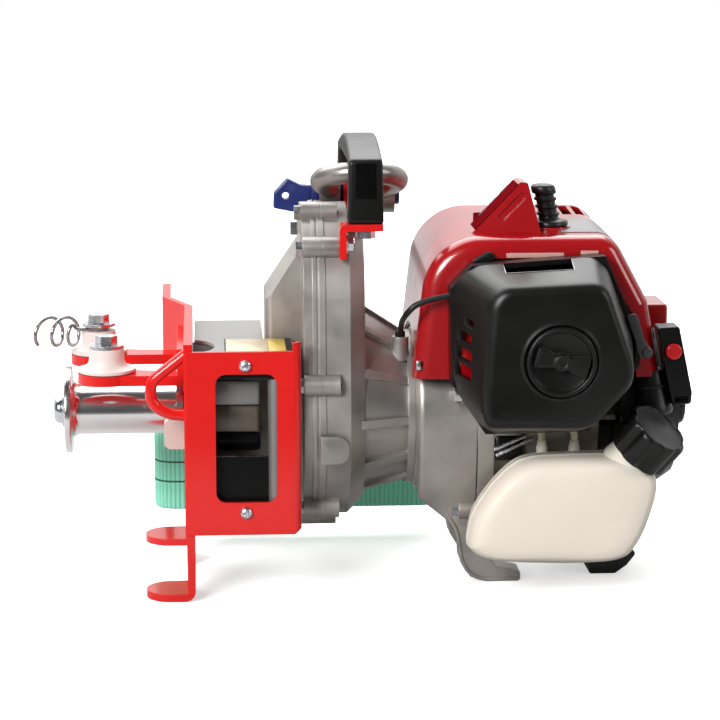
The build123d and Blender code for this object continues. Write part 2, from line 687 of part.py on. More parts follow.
def crankcase_bolts():
    places = ((CASE_BOLT_Y, CASE_BOLT_Z), (STAND_BOLT_Y, STAND_BOLT_Z))
    return Compound(children=[hex_x(CRANK_X0 + 21.5, CRANK_X0 + 26, 8, y, z) for y, z in places])


def engine_stand():
    profile = [
        (45, 70), (45, 47), (55, 31), (57, 13), (63, 3), (72, 0),
        (93, 0), (93, 6), (78, 9), (71, 18), (70, 36), (74, 70),
    ]
    leg = slab_xz(profile, -41, 41, 2.0)
    leg -= box(40, 100, -25, 25, -1, 42)
    leg -= rod_x(40, CRANK_X0 + 26, 6, STAND_BOLT_Y, STAND_BOLT_Z)
    leg += rod_x(CRANK_X0 + 26, CRANK_PART_X + 12, 6, STAND_BOLT_Y, STAND_BOLT_Z)
    return leg - rod_x(20, 130, CRANK_R)


def cylinder_block():
    barrel = rod_z(150, 190, 27, CYL_X, 0)
    for k in range(5):
        z = 156 + 6.5 * k
        barrel += box(CYL_X - 29, CYL_X + 29, -34, 34, z, z + 2.4)
    barrel += box(CYL_X - 30, CYL_X + 30, -34, 34, 187, 203)
    barrel -= rod_z(149, 184, 20, CYL_X, 0)
    return barrel - rod_z(180, 204, 5, PLUG_X, PLUG_Y)


def crankshaft():
    shaft = rod_x(10, 84, 8) + rod_x(108, 168, 8)
    for x in (82, 102):
        shaft += rod_x(x, x + 8, 26)
    return shaft + rod_x(88, 104, 9, 0, AXIS_Z - 15)


def flywheel():
    wheel = ring_x(126, 138, 44, 8)
    blades = [
        Pos(143, 0, AXIS_Z) * Rot(angle, 0, 0) * Pos(0, 0, 33) * Box(10, 2.5, 20)
        for angle in range(0, 360, 30)
    ]
    for blade in blades:
        wheel += blade
    return wheel


def spark_plug():
    plug = rod_z(185, 204, 5, PLUG_X, PLUG_Y) + hex_z(203, 209.5, 16, PLUG_X, PLUG_Y)
    return plug + rod_z(209.5, 225, 3, PLUG_X, PLUG_Y)


def plug_boot():
    low = BOOT_Z
    boot = rod_z(low, low + 19, 5.4, PLUG_X, PLUG_Y) + rod_z(low, low + 3.5, 11, PLUG_X, PLUG_Y)
    for z in (low + 6, low + 10.5, low + 15):
        boot += rod_z(z, z + 2, 6.6, PLUG_X, PLUG_Y)
    knob = rod_z(low + 18.5, low + 24.5, 7, PLUG_X, PLUG_Y)
    boot += fillet(knob.edges().filter_by(GeomType.CIRCLE).sort_by(Axis.Z)[-1], 3)
    return boot - rod_z(low - 1, 225.2, 3, PLUG_X, PLUG_Y)


def shroud_outline(inset):
    """Shroud side outline in X and Z, drawn inward by the wall thickness."""
    left, top, right = 27 + inset, SHROUD_TOP - inset, 172 - inset
    low = 126 - 3 * inset
    return [(left, low), (left + 10, top), (140 - 0.6 * inset, top), (right - 8, 170), (right, low)]


def shroud_corners(body, radii):
    """Rounds the two upper corners that run along Y."""
    for x, r in radii:
        along = [e for e in body.edges() if e.length > SHROUD_Y and e.center().Z > 200]
        body = fillet([e for e in along if abs(e.center().X - x) < 4], r)
    return body


def above_shroud(inset):
    """Space over the shroud's top, which falls towards the intake side."""
    front, rear = SHROUD_FRONT_TOP - inset, SHROUD_TOP - inset
    side = [(-SHROUD_Y, front), (SHROUD_Y, rear), (SHROUD_Y, 250), (-SHROUD_Y, 250)]
    return slab_yz(side, 0, 200)


def engine_shroud():
    outer = slab_xz(shroud_outline(0), -SHROUD_Y, SHROUD_Y) - above_shroud(0)
    outer = shroud_corners(outer, ((37, 34), (141, 16)))
    rims = [e for e in outer.edges() if abs(abs(e.center().Y) - SHROUD_Y) < 0.01 and e.center().Z > 127]
    outer = fillet(rims, 9)
    core = slab_xz(shroud_outline(SHROUD_T), -SHROUD_Y + SHROUD_T, SHROUD_Y - SHROUD_T)
    core = shroud_corners(core - above_shroud(SHROUD_T), ((40, 31), (140, 14)))
    body = outer - core
    intake_side = [(52, 100), (52, 178), (74, 196), (134, 196), (156, 160), (158, 100)]
    exhaust_side = [(50, 100), (50, 180), (74, 194), (130, 194), (140, 160), (140, 100)]
    body -= slab_xz(intake_side, -SHROUD_Y - 1, -40, 4)
    body -= slab_xz(exhaust_side, 40, SHROUD_Y + 1, 4)
    body += fillet(box(163, 182.4, -18, 18, 140, 162).edges(), 2)
    body -= rod_x(148, 200, 52.4) + rod_x(20, 60, CRANK_R + 1)
    fin = slab_xz([(60, 198), (61, 207), (90.5, 238), (95, 237.5), (103, 208), (103, 198)], -40, -16)
    fin = fillet([e for e in fin.edges().filter_by(Axis.Y) if e.center().Z > 215], 1.2)
    fin += rod_z(198, BOOT_Z, 12.5, PLUG_X, PLUG_Y)
    fin -= rod_z(BOOT_Z, SHROUD_TOP + 4, 11.4, PLUG_X, PLUG_Y)
    hollow = slab_xz([(69, 197), (91.5, 233), (95, 222), (96, 197)], -37.5, -18.5)
    body += fin - core
    body -= hollow
    body -= slab_xz([(77, 217.5), (80, 214.5), (94.5, 229.5), (91.5, 232.5)], -41, -39.2, 2)
    body -= rod_z(197, SHROUD_TOP + 1, 10, PLUG_X, PLUG_Y)
    for k in range(3):
        body -= box(123.5 + 8 * k, 129 + 8 * k, 16, 44, 196, 220)
    return body


def carburettor():
    body = box(82, 116, -56, -36, 134, 162)
    body += rod_y(-57, -34.5, 13, 99, 149)
    return body - rod_y(-60, -30, 8, 99, 149)


def muffler():
    body = fillet(box(58, 122, 45, 102, 122, 184).edges(), 9)
    body -= box(62, 118, 49, 98, 126, 180)
    body += rod_y(34, 47, 12, 90, 168)
    body += rod_y(101, 106, 8, 76, 136)
    return body - rod_y(33, 50, 8, 90, 168) - rod_y(97, 107, 6, 76, 136)


def muffler_guard():
    outer = fillet(box(52, 128, 62, MAX_Y, 106, 190).edges().filter_by(Axis.Y), 9)
    outer = fillet(outer.faces().sort_by(Axis.Y)[-1].edges(), 6)
    inner = fillet(box(54.5, 125.5, 60, MAX_Y - 2.5, 108.5, 187.5).edges().filter_by(Axis.Y), 7)
    body = outer - inner
    for k in range(5):
        z = 122 + 13 * k
        body -= slab_xz([(62, z), (118, z), (118, z + 5), (62, z + 5)], MAX_Y - 8, MAX_Y + 1, 2)
    return body + box(54.5, 58, 64, 68, 140, 158) + box(122, 125.5, 64, 68, 140, 158)


# Air cleaner

def air_cleaner_base():
    back = extrude(inset_face(REAR_OUTLINE, REAR_Y + 0.4, 0), 13, dir=(0, 1, 0))
    pocket = extrude(inset_face(REAR_OUTLINE, REAR_Y, 3), 10.4, dir=(0, 1, 0))
    body = back - pocket + rod_y(REAR_Y + 0.4, -60, 6, KNOB_X, KNOB_Z)
    body -= rod_y(REAR_Y, -63, 3, KNOB_X, KNOB_Z)
    body -= rod_y(-64, -50, 8, 88, 152)
    return body - rod_x(40, 52, 1.6, -65, 176)


def air_filter():
    outline = [(64, 120), (64, 182), (134, 184), (144, 140), (124, 112), (76, 112)]
    return slab_xz(outline, -84, -72.4, 4) - rod_y(-90, -60, 8, KNOB_X, KNOB_Z)


def air_cleaner_cover():
    outer = loft([inset_face(REAR_OUTLINE, REAR_Y, 0), inset_face(FRONT_OUTLINE, FRONT_Y, 0)], ruled=True)
    outer = fillet(outer.faces().sort_by(Axis.Y)[0].edges(), 5)
    mouth = inset_face(REAR_OUTLINE, REAR_Y + 0.01, 2.6)
    inner = loft([mouth, inset_face(FRONT_OUTLINE, FRONT_Y + 3, 2.6)], ruled=True)
    body = outer - inner
    for k in range(4):
        z = 135.7 + 8.4 * k
        body -= box(40, 64, -91 - 1.3 * k, -75 - 2.6 * k, z, z + 4.6)
    body -= box(77, 116, -87, REAR_Y + 1, 184, 210)
    body -= rod_y(FRONT_Y - 1, FRONT_Y + 2, 20.4, KNOB_X, KNOB_Z)
    body += rod_y(FRONT_Y + 2, FRONT_Y + 4, 22, KNOB_X, KNOB_Z)
    return body - rod_y(FRONT_Y - 2, FRONT_Y + 8, 3.4, KNOB_X, KNOB_Z)


def air_cleaner_knob():
    disc = rod_y(FRONT_Y - 3, FRONT_Y + 1.7, 19.9, KNOB_X, KNOB_Z)
    disc = fillet(disc.edges().sort_by(Axis.Y)[0], 1.5)
    disc -= rod_y(FRONT_Y - 4, FRONT_Y - 0.6, 16.5, KNOB_X, KNOB_Z)
    grip = box(KNOB_X - 16.8, KNOB_X + 16.8, FRONT_Y - 5, FRONT_Y, KNOB_Z - 4.5, KNOB_Z + 4.5)
    grip = fillet(grip.edges().filter_by(Axis.Y), 4)
    grip = Pos(KNOB_X, 0, KNOB_Z) * Rot(0, 11, 0) * Pos(-KNOB_X, 0, -KNOB_Z) * grip
    dome = rod_y(FRONT_Y - 6, FRONT_Y, 6, KNOB_X, KNOB_Z)
    stem = rod_y(FRONT_Y + 1, -64, 2.95, KNOB_X, KNOB_Z)
    return disc + grip + fillet(dome.edges().sort_by(Axis.Y)[0], 2.5) + stem


def choke_lever():
    outline = [(158.6, 141), (163, 141), (163, 152), (157.5, 171), (151.5, 171), (158, 152)]
    arm = slab_xz(outline, -69, -65, 1.2)
    return arm + rod_y(-69, -58.3, 3.5, CHOKE_X, CHOKE_Z)


# Fuel

def fuel_tank():
    lobe = slab_xz(TANK_OUTLINE, TANK_Y0, TANK_Y1, TANK_CORNER_R)
    lobe = fillet([e for e in lobe.edges() if abs(e.center().Y - TANK_Y0) < 0.01], 6)
    tray = box(100, 160, TANK_Y1 - 4, 34, 22, 44)
    neck = Plane(CAP_BASE, z_dir=CAP_AXIS) * Pos(0, 0, 4) * Cylinder(14, 20)
    body = lobe + tray + neck
    core = [(60.5, 26.5), (64.5, 47), (90, 83), (157, 84), (165.5, 69.5), (150.5, 24.5)]
    body -= slab_xz(core, TANK_Y0 + TANK_WALL + 4, TANK_Y1 - TANK_WALL, TANK_CORNER_R - 4)
    for route in hose_routes():
        body -= rod_z(80, 95, HOSE_R, route[0][0], route[0][1])
    return body


def fuel_cap():
    plane = Plane(CAP_BASE, z_dir=CAP_AXIS)
    cap = plane * Pos(0, 0, 22.5) * Cylinder(19, 22)
    cap = fillet(cap.faces().sort_by(Axis(CAP_BASE, CAP_AXIS))[-1].edges(), 3)
    cap -= plane * Pos(0, 0, 8.4) * Cylinder(14.3, 12)
    for k in range(8):
        a = radians(45 * k)
        cap -= plane * Pos(23.4 * cos(a), 23.4 * sin(a), 20) * Cylinder(6, 18)
    return cap


def hose_routes():
    return [
        [(103, -55, 84), (103, -55, 104), (93, -49, 120), (93, -49, 134)],
        [(122, -55, 84), (122, -55, 104), (107, -49, 120), (107, -49, 134)],
    ]


def fuel_hoses():
    return Compound(children=[tube(route, HOSE_R, [8, 8]) for route in hose_routes()])


def throttle_cable():
    return tube(CABLE_ROUTE, CABLE_R, [8, 7, 7])


# Starter side

def recoil_housing():
    outer = [disc_face(x, r, AXIS_Z) for x, r in ((150, 52), (174, 50), (186, 42))]
    inner = [disc_face(x, r, AXIS_Z) for x, r in ((149, 49), (172, 47), (183, 39))]
    body = loft(outer, ruled=True) - loft(inner, ruled=True)
    for angle in range(0, 360, 24):
        slot = Rot(angle, 0, 0) * Pos(0, 0, 27) * Box(60, 3.5, 16)
        body -= Pos(185, 0, AXIS_Z) * slot
    body += fillet(rod_x(183, MAX_X, 13).edges().sort_by(Axis.X)[-1], 3)
    return body - box(160, 176, 44, 60, AXIS_Z - 4, AXIS_Z + 4)


def starter_grip():
    grip = box(161, 175, 56, 68, AXIS_Z - 17, AXIS_Z + 17)
    grip = fillet(grip.edges(), 4.5)
    return grip + rod_y(50, 58, 3.5, 168, AXIS_Z)


def stop_switch_box():
    case = slab_xz(SWITCH_OUTLINE, SWITCH_Y0, SWITCH_Y0 + 15, 1.6)
    case = fillet([e for e in case.edges() if abs(e.center().Y - SWITCH_Y0) < 0.01], 1)
    case -= box(179.6, 187.6, SWITCH_Y0 - 1, SWITCH_Y0 + 5, 111, 114.8)
    case -= rod_y(SWITCH_Y0 - 1, SWITCH_Y0 + 9, 5.1, BUTTON_X, BUTTON_Z)
    body = case + box(168, 181, -46, -42, 110, 122)
    return body - rod_x(140, 190, 52.05)


def stop_button():
    push = rod_y(SWITCH_Y0 - 2.6, SWITCH_Y0 + 5.4, 4.75, BUTTON_X, BUTTON_Z)
    return fillet(push.edges().filter_by(GeomType.CIRCLE).sort_by(Axis.Y)[0], 1.2)


def rear_foot():
    pad = slab_xz([(136, 0), (152, 0), (159, 5), (166, 14), (136, 14)], -28, 39.5, 2)
    riser = box(163, 168, 14, 39.5, 13, 62)
    strap = box(150, 168, 35.5, 39.5, 13, 62)
    body = pad + riser + strap
    return body - rod_x(140, 200, 52)


def sling():
    """Webbing loop through the chassis slot and along the far side."""
    low, top = SLING_Z0, SLING_Z0 + SLING_W
    loop = []
    for inset, lift in ((0.0, 0.0), (SLING_T, 1.0)):
        x0, x1 = SLING_X0 + inset, SLING_X1 - inset
        y0, y1 = SLING_Y0 - SLING_T / 2 + inset, SLING_Y1 + SLING_T / 2 - inset
        plan = [(x0, y0), (x1, y0), (x1, y1), (x0, y1)]
        loop.append(slab_xy(plan, low - lift, top + lift, SLING_BEND - inset))
    return loop[0] - loop[1]


NODES = {
    "capstan_drum": capstan_drum, "drum_flanges": drum_flanges, "drum_end_bolt": drum_end_bolt,
    "drum_shaft": drum_shaft, "output_gear": lambda: gear(78, 11, -31, AXIS_Z, SHAFT_R),
    "countershaft": countershaft, "countershaft_gear": lambda: gear(66, 7, -16.5, LAY_Z, 6),
    "input_pinion": input_pinion, "clutch_drum": clutch_drum, "clutch_shoes": clutch_shoes,
    "shaft_bearings": shaft_bearings, "gear_case_front": gear_case_front, "gear_case_rear": gear_case_rear,
    "case_bolts": case_bolts, "chassis_plate": chassis_plate, "side_guard": side_guard,
    "guard_screws": guard_screws, "top_cover_plate": top_cover_plate, "inner_cover_plate": inner_cover_plate,
    "foot_bracket": foot_bracket, "guide_loop": guide_loop, "rope_stripper": rope_stripper,
    "roller_arm": roller_arm, "guide_roller_near": lambda: guide_roller("near"),
    "guide_roller_far": lambda: guide_roller("far"), "roller_bolts": roller_bolts,
    "pigtail_guide": pigtail_guide, "handle_bracket": handle_bracket, "carry_handle": carry_handle,
    "handle_bolts": handle_bolts, "shackle_bow": shackle_bow, "shackle_pin": shackle_pin,
    "crankcase_front": crankcase_front, "crankcase_rear": crankcase_rear, "crankcase_bolts": crankcase_bolts,
    "engine_stand": engine_stand, "cylinder_block": cylinder_block, "crankshaft": crankshaft,
    "flywheel": flywheel, "spark_plug": spark_plug, "plug_boot": plug_boot, "engine_shroud": engine_shroud,
    "carburettor": carburettor, "muffler": muffler, "muffler_guard": muffler_guard,
    "air_cleaner_base": air_cleaner_base, "air_filter": air_filter, "air_cleaner_cover": air_cleaner_cover,
    "air_cleaner_knob": air_cleaner_knob, "choke_lever": choke_lever, "fuel_tank": fuel_tank,
    "fuel_cap": fuel_cap, "fuel_hoses": fuel_hoses, "throttle_cable": throttle_cable,
    "recoil_housing": recoil_housing, "starter_grip": starter_grip, "stop_switch_box": stop_switch_box,
    "stop_button": stop_button, "rear_foot": rear_foot, "sling": sling,
}

if __name__ == "__main__":
    os.makedirs("parts", exist_ok=True)
    for name, make in NODES.items():
        export_step(make(), f"parts/{name}.step")
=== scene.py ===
# %% [markdown]
# # An engine winch
# A portable rope winch: a plated drum on a red steel frame, a cast gear case and a small petrol engine.
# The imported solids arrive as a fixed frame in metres. Everything here dresses them: finishes for the
# solids whose shape is right, and new meshes where the real piece is softer, finer or smoother.

# %% Load the frame
import json
from math import asin, atan2, cos, pi, radians, sin

import bmesh
import bpy
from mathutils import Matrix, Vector


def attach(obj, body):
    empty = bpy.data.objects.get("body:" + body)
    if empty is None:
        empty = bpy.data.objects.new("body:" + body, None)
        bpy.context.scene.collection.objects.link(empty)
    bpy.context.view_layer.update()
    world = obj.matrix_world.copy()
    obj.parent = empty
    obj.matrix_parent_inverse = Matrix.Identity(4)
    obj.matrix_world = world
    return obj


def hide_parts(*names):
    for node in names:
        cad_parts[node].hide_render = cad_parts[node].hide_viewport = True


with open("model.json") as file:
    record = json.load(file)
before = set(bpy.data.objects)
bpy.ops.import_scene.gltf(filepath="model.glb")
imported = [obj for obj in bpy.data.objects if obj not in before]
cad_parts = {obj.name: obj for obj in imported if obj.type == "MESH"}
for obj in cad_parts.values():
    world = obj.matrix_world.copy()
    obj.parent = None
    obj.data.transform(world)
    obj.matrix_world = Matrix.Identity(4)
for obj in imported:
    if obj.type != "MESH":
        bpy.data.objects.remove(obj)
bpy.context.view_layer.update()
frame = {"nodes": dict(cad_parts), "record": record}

NODES = frame["nodes"]
BODIES = frame["record"]["behaviour"]["bodies"]
BODY_OF = {solid: body for body, solids in BODIES.items() for solid in solids}
SLOT_OF = {part["node"]: part["material_slot"] for part in frame["record"]["subparts"]}

# %% [markdown]
# ## Helpers for node trees
# Every finish is a node tree. Trees can be drawn by hand in the shader editor, but a script repeats them
# exactly. A few small helpers keep the recipes readable: one makes a node, one feeds a socket with a value
# or another socket, one makes a group with named sockets, and four make the nodes used most.

# %% Nodes and sockets
MM = 0.001


def node(tree, kind, **settings):
    made = tree.nodes.new(kind)
    for name, value in settings.items():
        setattr(made, name, value)
    return made


def feed(tree, target, source):
    if isinstance(source, bpy.types.NodeSocket):
        tree.links.new(source, target)
    else:
        target.default_value = source


def group(name, inputs, outputs):
    tree = bpy.data.node_groups.new(name, "ShaderNodeTree")
    for label, value in inputs.items():
        socket = tree.interface.new_socket(label, in_out="INPUT", socket_type="NodeSocketFloat")
        socket.default_value = value
    for label in outputs:
        tree.interface.new_socket(label, in_out="OUTPUT", socket_type="NodeSocketFloat")
    return tree, tree.nodes.new("NodeGroupInput").outputs, tree.nodes.new("NodeGroupOutput").inputs


print("lengths are in millimetres, one is", MM, "m")


# %% Common nodes
def combine(tree, operation, first, second):
    made = node(tree, "ShaderNodeMath", operation=operation)
    feed(tree, made.inputs[0], first)
    feed(tree, made.inputs[1], second)
    return made.outputs[0]


def remap(tree, value, low, high, to_low=0.0, to_high=1.0):
    made = node(tree, "ShaderNodeMapRange", clamp=True)
    for k, source in enumerate((value, low, high, to_low, to_high)):
        feed(tree, made.inputs[k], source)
    return made.outputs[0]


def noise(tree, scale, detail=3.0, vector=None):
    made = node(tree, "ShaderNodeTexNoise")
    feed(tree, made.inputs["Scale"], scale)
    feed(tree, made.inputs["Detail"], detail)
    if vector is None:
        vector = node(tree, "ShaderNodeTexCoord").outputs["Object"]
    feed(tree, made.inputs["Vector"], vector)
    return made.outputs["Fac"]


def split_xyz(tree, source):
    made = node(tree, "ShaderNodeSeparateXYZ")
    feed(tree, made.inputs[0], source)
    return made.outputs


print("common nodes: sum, range, noise and split")

# %% [markdown]
# ## Shared effects
# Several finishes need the same things: paint rubbed thin on edges, on black plastic partly a painted
# highlight, a fine grain, a slow mottle, dust on faces that look up, and the rings a lathe leaves. They
# could be copied into each material, but then a change has to be made many times. Each is one node
# group instead, placed with its own values.
# Edges are found with the Bevel node: where its rounded normal leaves the true one, there is an edge.

# %% Edge wear, painted edge highlight and grain
def edge_wear_and_highlight_group():
    inputs = {"Radius": 0.001, "Amount": 0.5, "Patch Scale": 90.0}
    tree, given, out = group("edge_wear_and_highlight", inputs, ["Mask"])
    eased = node(tree, "ShaderNodeBevel", samples=4)
    feed(tree, eased.inputs["Radius"], given["Radius"])
    facing = node(tree, "ShaderNodeVectorMath", operation="DOT_PRODUCT")
    feed(tree, facing.inputs[0], eased.outputs["Normal"])
    feed(tree, facing.inputs[1], node(tree, "ShaderNodeNewGeometry").outputs["Normal"])
    edge = remap(tree, facing.outputs["Value"], 0.99, 0.80)
    patch = remap(tree, noise(tree, given["Patch Scale"], 4.0), 0.38, 0.62)
    rubbed = combine(tree, "MULTIPLY", edge, patch)
    feed(tree, out["Mask"], combine(tree, "MULTIPLY", rubbed, given["Amount"]))
    return tree


def grain_group():
    tree, given, out = group("grain", {"Scale": 900.0, "Slow Scale": 14.0}, ["Height", "Mottle"])
    fine = combine(tree, "MULTIPLY", noise(tree, given["Scale"], 2.0), 0.6)
    wide = noise(tree, combine(tree, "MULTIPLY", given["Scale"], 0.22), 3.0)
    feed(tree, out["Height"], combine(tree, "ADD", fine, combine(tree, "MULTIPLY", wide, 0.4)))
    feed(tree, out["Mottle"], remap(tree, noise(tree, given["Slow Scale"], 5.0), 0.3, 0.7))
    return tree


GROUPS = {"edge_wear_and_highlight": edge_wear_and_highlight_group(), "grain": grain_group()}
print("effect groups:", sorted(GROUPS))


# %% Dust and lathe rings
def dust_group():
    tree, given, out = group("dust", {"Amount": 0.2, "Scale": 60.0}, ["Mask"])
    normal = split_xyz(tree, node(tree, "ShaderNodeNewGeometry").outputs["Normal"])
    up = remap(tree, normal["Z"], 0.35, 1.0)
    cloud = remap(tree, noise(tree, given["Scale"], 5.0), 0.3, 0.75)
    settled = combine(tree, "MULTIPLY", up, cloud)
    feed(tree, out["Mask"], combine(tree, "MULTIPLY", settled, given["Amount"]))
    return tree


def turned_group():
    """Rings across X where Along X is one, and across Z where it is nought."""
    tree, given, out = group("turned", {"Rings": 1400.0, "Along X": 1.0}, ["Height"])
    place_at = split_xyz(tree, node(tree, "ShaderNodeTexCoord").outputs["Object"])
    along_z = combine(tree, "SUBTRACT", 1.0, given["Along X"])
    join = node(tree, "ShaderNodeCombineXYZ")
    feed(tree, join.inputs["X"], combine(tree, "MULTIPLY", place_at["X"], given["Along X"]))
    feed(tree, join.inputs["Z"], combine(tree, "MULTIPLY", place_at["Z"], along_z))
    feed(tree, out["Height"], noise(tree, given["Rings"], 2.0, join.outputs[0]))
    return tree


GROUPS.update(dust=dust_group(), turned=turned_group())
print("effect groups:", sorted(GROUPS))

# %% [markdown]
# ## The finish recipe
# One recipe makes nearly every finish of the winch: a base colour that drifts a little with the mottle,
# wear that shows another colour on edges, on black plastic partly a painted highlight, dust on top, and a
# bump from the grain. What differs is the values. Anything that is the same all over, such as the coat's
# roughness, is set straight on the shader.
# No real edge is perfectly sharp, so a Bevel node rounds the normal at every edge before the bump is added.

# %% Parts of a finish
def place(tree, name, **values):
    """Puts an effect group into a material and sets its inputs."""
    made = node(tree, "ShaderNodeGroup", node_tree=GROUPS[name])
    for label, value in values.items():
        feed(tree, made.inputs[label.replace("_", " ").title()], value)
    return made.outputs


def mix(tree, factor, first, second):
    made = node(tree, "ShaderNodeMix", data_type="RGBA")
    feed(tree, made.inputs[0], factor)
    feed(tree, made.inputs[6], first)
    feed(tree, made.inputs[7], second)
    return made.outputs[2]


def tint(colour, gain):
    return tuple(min(1.0, channel * gain) for channel in colour[:3]) + (1.0,)


def soft_normal(tree, height, edge, bump, depth):
    """A normal that is rounded at edges and roughened by a height."""
    soft = node(tree, "ShaderNodeBevel", samples=4)
    soft.inputs["Radius"].default_value = edge * MM
    lift = node(tree, "ShaderNodeBump")
    lift.inputs["Strength"].default_value = bump
    lift.inputs["Distance"].default_value = depth * MM
    feed(tree, lift.inputs["Height"], height)
    feed(tree, lift.inputs["Normal"], soft.outputs["Normal"])
    return lift.outputs["Normal"]


print("effects to place:", sorted(GROUPS))

# %% The finish recipe
DUST = (0.62, 0.59, 0.55, 1.0)
FINISHES = {}


def finish(name, colour, rough, metal=0.0, coat=0.0, drift=0.12, grain=900.0, bump=0.15, depth=0.05,
           edge=0.5, wear_and_highlight_colour=None, wear_and_highlight=0.0, dust=0.0, turned=None, slow=14.0, rough_drift=0.1, shine=0.5):
    """A finish whose edge and bump depth are in millimetres and whose colours are linear."""
    made = FINISHES[name] = bpy.data.materials.new(name)
    made.use_nodes = True
    tree = made.node_tree
    shader = tree.nodes["Principled BSDF"].inputs
    skin = place(tree, "grain", scale=grain, slow_scale=slow)
    paint = mix(tree, skin["Mottle"], tint(colour, 1 - drift), tint(colour, 1 + drift))
    if wear_and_highlight:
        mask = place(tree, "edge_wear_and_highlight", radius=1.4 * edge * MM, amount=wear_and_highlight)["Mask"]
        paint = mix(tree, mask, paint, tint(wear_and_highlight_colour, 1.0))
    if dust:
        paint = mix(tree, place(tree, "dust", amount=dust)["Mask"], paint, DUST)
    height = skin["Height"]
    if turned:
        height = place(tree, "turned", rings=turned[0], along_x=turned[1])["Height"]
    sheen = remap(tree, skin["Mottle"], 0.0, 1.0, rough - rough_drift, rough + rough_drift)
    feed(tree, shader["Base Color"], paint)
    feed(tree, shader["Roughness"], sheen)
    feed(tree, shader["Normal"], soft_normal(tree, height, edge, bump, depth))
    shader["Metallic"].default_value = metal
    shader["Specular IOR Level"].default_value = shine
    shader["Coat Weight"].default_value = coat
    shader["Coat Roughness"].default_value = 0.08


print("the recipe places up to", len(GROUPS), "effects")

# %% [markdown]
# ## Metals
# Castings are blasted aluminium with a warm grey skin that shines where edges are rubbed. The drum is
# plated and turned, so its bump is lathe rings. Fasteners are bright zinc, and sheet is dull aluminium.
# Only chrome, zinc, wire and gears are fully metallic: a blasted skin scatters light almost like stone.

# %% Metal finishes
RUBBED = (0.78, 0.76, 0.73)
finish("cast_aluminium", (0.39, 0.365, 0.34), 0.45, metal=0.70, drift=0.20, grain=1300.0, bump=0.5,
       depth=0.14, wear_and_highlight_colour=RUBBED, wear_and_highlight=0.55, edge=0.8, slow=34.0, rough_drift=0.12)
finish("stripper_aluminium", (0.70, 0.61, 0.56), 0.42, metal=0.3, drift=0.06, grain=1100.0, bump=0.1,
       rough_drift=0.05)
finish("sheet_aluminium", (0.25, 0.245, 0.24), 0.42, metal=0.6, drift=0.08, grain=1100.0, bump=0.1,
       rough_drift=0.05)
finish("chrome", (0.80, 0.78, 0.78), 0.17, metal=1.0, drift=0.04, turned=(1600.0, 1.0), bump=0.10,
       depth=0.02, edge=0.3, rough_drift=0.05)
finish("zinc", (0.70, 0.71, 0.74), 0.25, metal=1.0, drift=0.10, grain=2200.0, bump=0.2, edge=0.3,
       slow=160.0)
finish("wire", (0.40, 0.40, 0.41), 0.26, metal=1.0, drift=0.12, grain=2600.0, bump=0.15, edge=0.1,
       slow=120.0, rough_drift=0.06)
finish("gear_steel", (0.36, 0.36, 0.38), 0.35, metal=1.0, grain=1400.0, bump=0.2, edge=0.2)
finish("galvanised", (0.36, 0.33, 0.31), 0.40, metal=0.9, drift=0.22, grain=700.0, bump=0.4, depth=0.10,
       slow=70.0, wear_and_highlight_colour=(0.62, 0.58, 0.55), wear_and_highlight=0.4)
finish("exhaust_steel", (0.22, 0.18, 0.15), 0.5, metal=0.9, drift=0.3, slow=40.0, edge=0.8)
print(len(FINISHES), "metals")

# %% [markdown]
# ## Paints
# Frame steel is powder coated in signal red. The engine's shroud is a deeper red under a clear coat, and
# the sloping edge of its fin is duller. Black sheet is worn to bare metal at its edges.

# %% Painted finishes
finish("red_paint", (0.74, 0.012, 0.010), 0.17, drift=0.04, grain=1500.0, bump=0.06, edge=0.7,
       wear_and_highlight_colour=(0.90, 0.16, 0.13), wear_and_highlight=0.25, rough_drift=0.05, shine=0.35, coat=0.3)
finish("shroud_red", (0.40, 0.005, 0.008), 0.22, coat=0.6, drift=0.08, grain=1200.0, bump=0.04, edge=0.9,
       wear_and_highlight_colour=(0.62, 0.06, 0.05), wear_and_highlight=0.25)
finish("dull_red", (0.15, 0.004, 0.007), 0.7, drift=0.15, grain=1200.0, bump=0.04, shine=0.0)
finish("black_plate", (0.004, 0.004, 0.004), 0.30, drift=0.2, grain=1400.0, bump=0.06,
       wear_and_highlight_colour=(0.42, 0.42, 0.42), wear_and_highlight=0.9, rough_drift=0.06, shine=0.15)
finish("blue_paint", (0.008, 0.020, 0.150), 0.36, coat=0.2, drift=0.15, bump=0.2,
       wear_and_highlight_colour=(0.20, 0.22, 0.36), wear_and_highlight=0.4)
print(len(FINISHES), "finishes so far")

# %% [markdown]
# ## Plastics, rubber and labels
# Moulded pieces have a finer grain and hardly any wear. The tank is milky, so a little light goes under
# its skin. The cords and the webbing take the same recipe, and the blank labels are flat print.

# %% Moulded finishes
# On black plastic the lighter edge colour is partly wear and partly a painted highlight.
finish("black_plastic", (0.0045, 0.0043, 0.004), 0.36, drift=0.25, grain=1700.0, bump=0.3, edge=0.8,
       wear_and_highlight_colour=(0.06, 0.057, 0.055), wear_and_highlight=0.3, dust=0.02, shine=0.38)
finish("gloss_black", (0.003, 0.003, 0.003), 0.12, drift=0.2, grain=1400.0, bump=0.02, rough_drift=0.03,
       shine=0.25)
finish("black_rubber", (0.007, 0.007, 0.007), 0.40, drift=0.3, grain=1100.0, bump=0.3, dust=0.04)
finish("red_button", (0.60, 0.010, 0.014), 0.3, coat=0.3, drift=0.06, grain=1500.0, bump=0.1)
finish("nylon", (0.80, 0.70, 0.66), 0.42, drift=0.05, bump=0.12, turned=(1800.0, 0.0), depth=0.03)
finish("tank_plastic", (0.88, 0.80, 0.69), 0.46, drift=0.035, grain=420.0, bump=0.10, depth=0.08)
finish("hose", (0.70, 0.66, 0.40), 0.18, drift=0.12, coat=0.4, grain=600.0, bump=0.05)
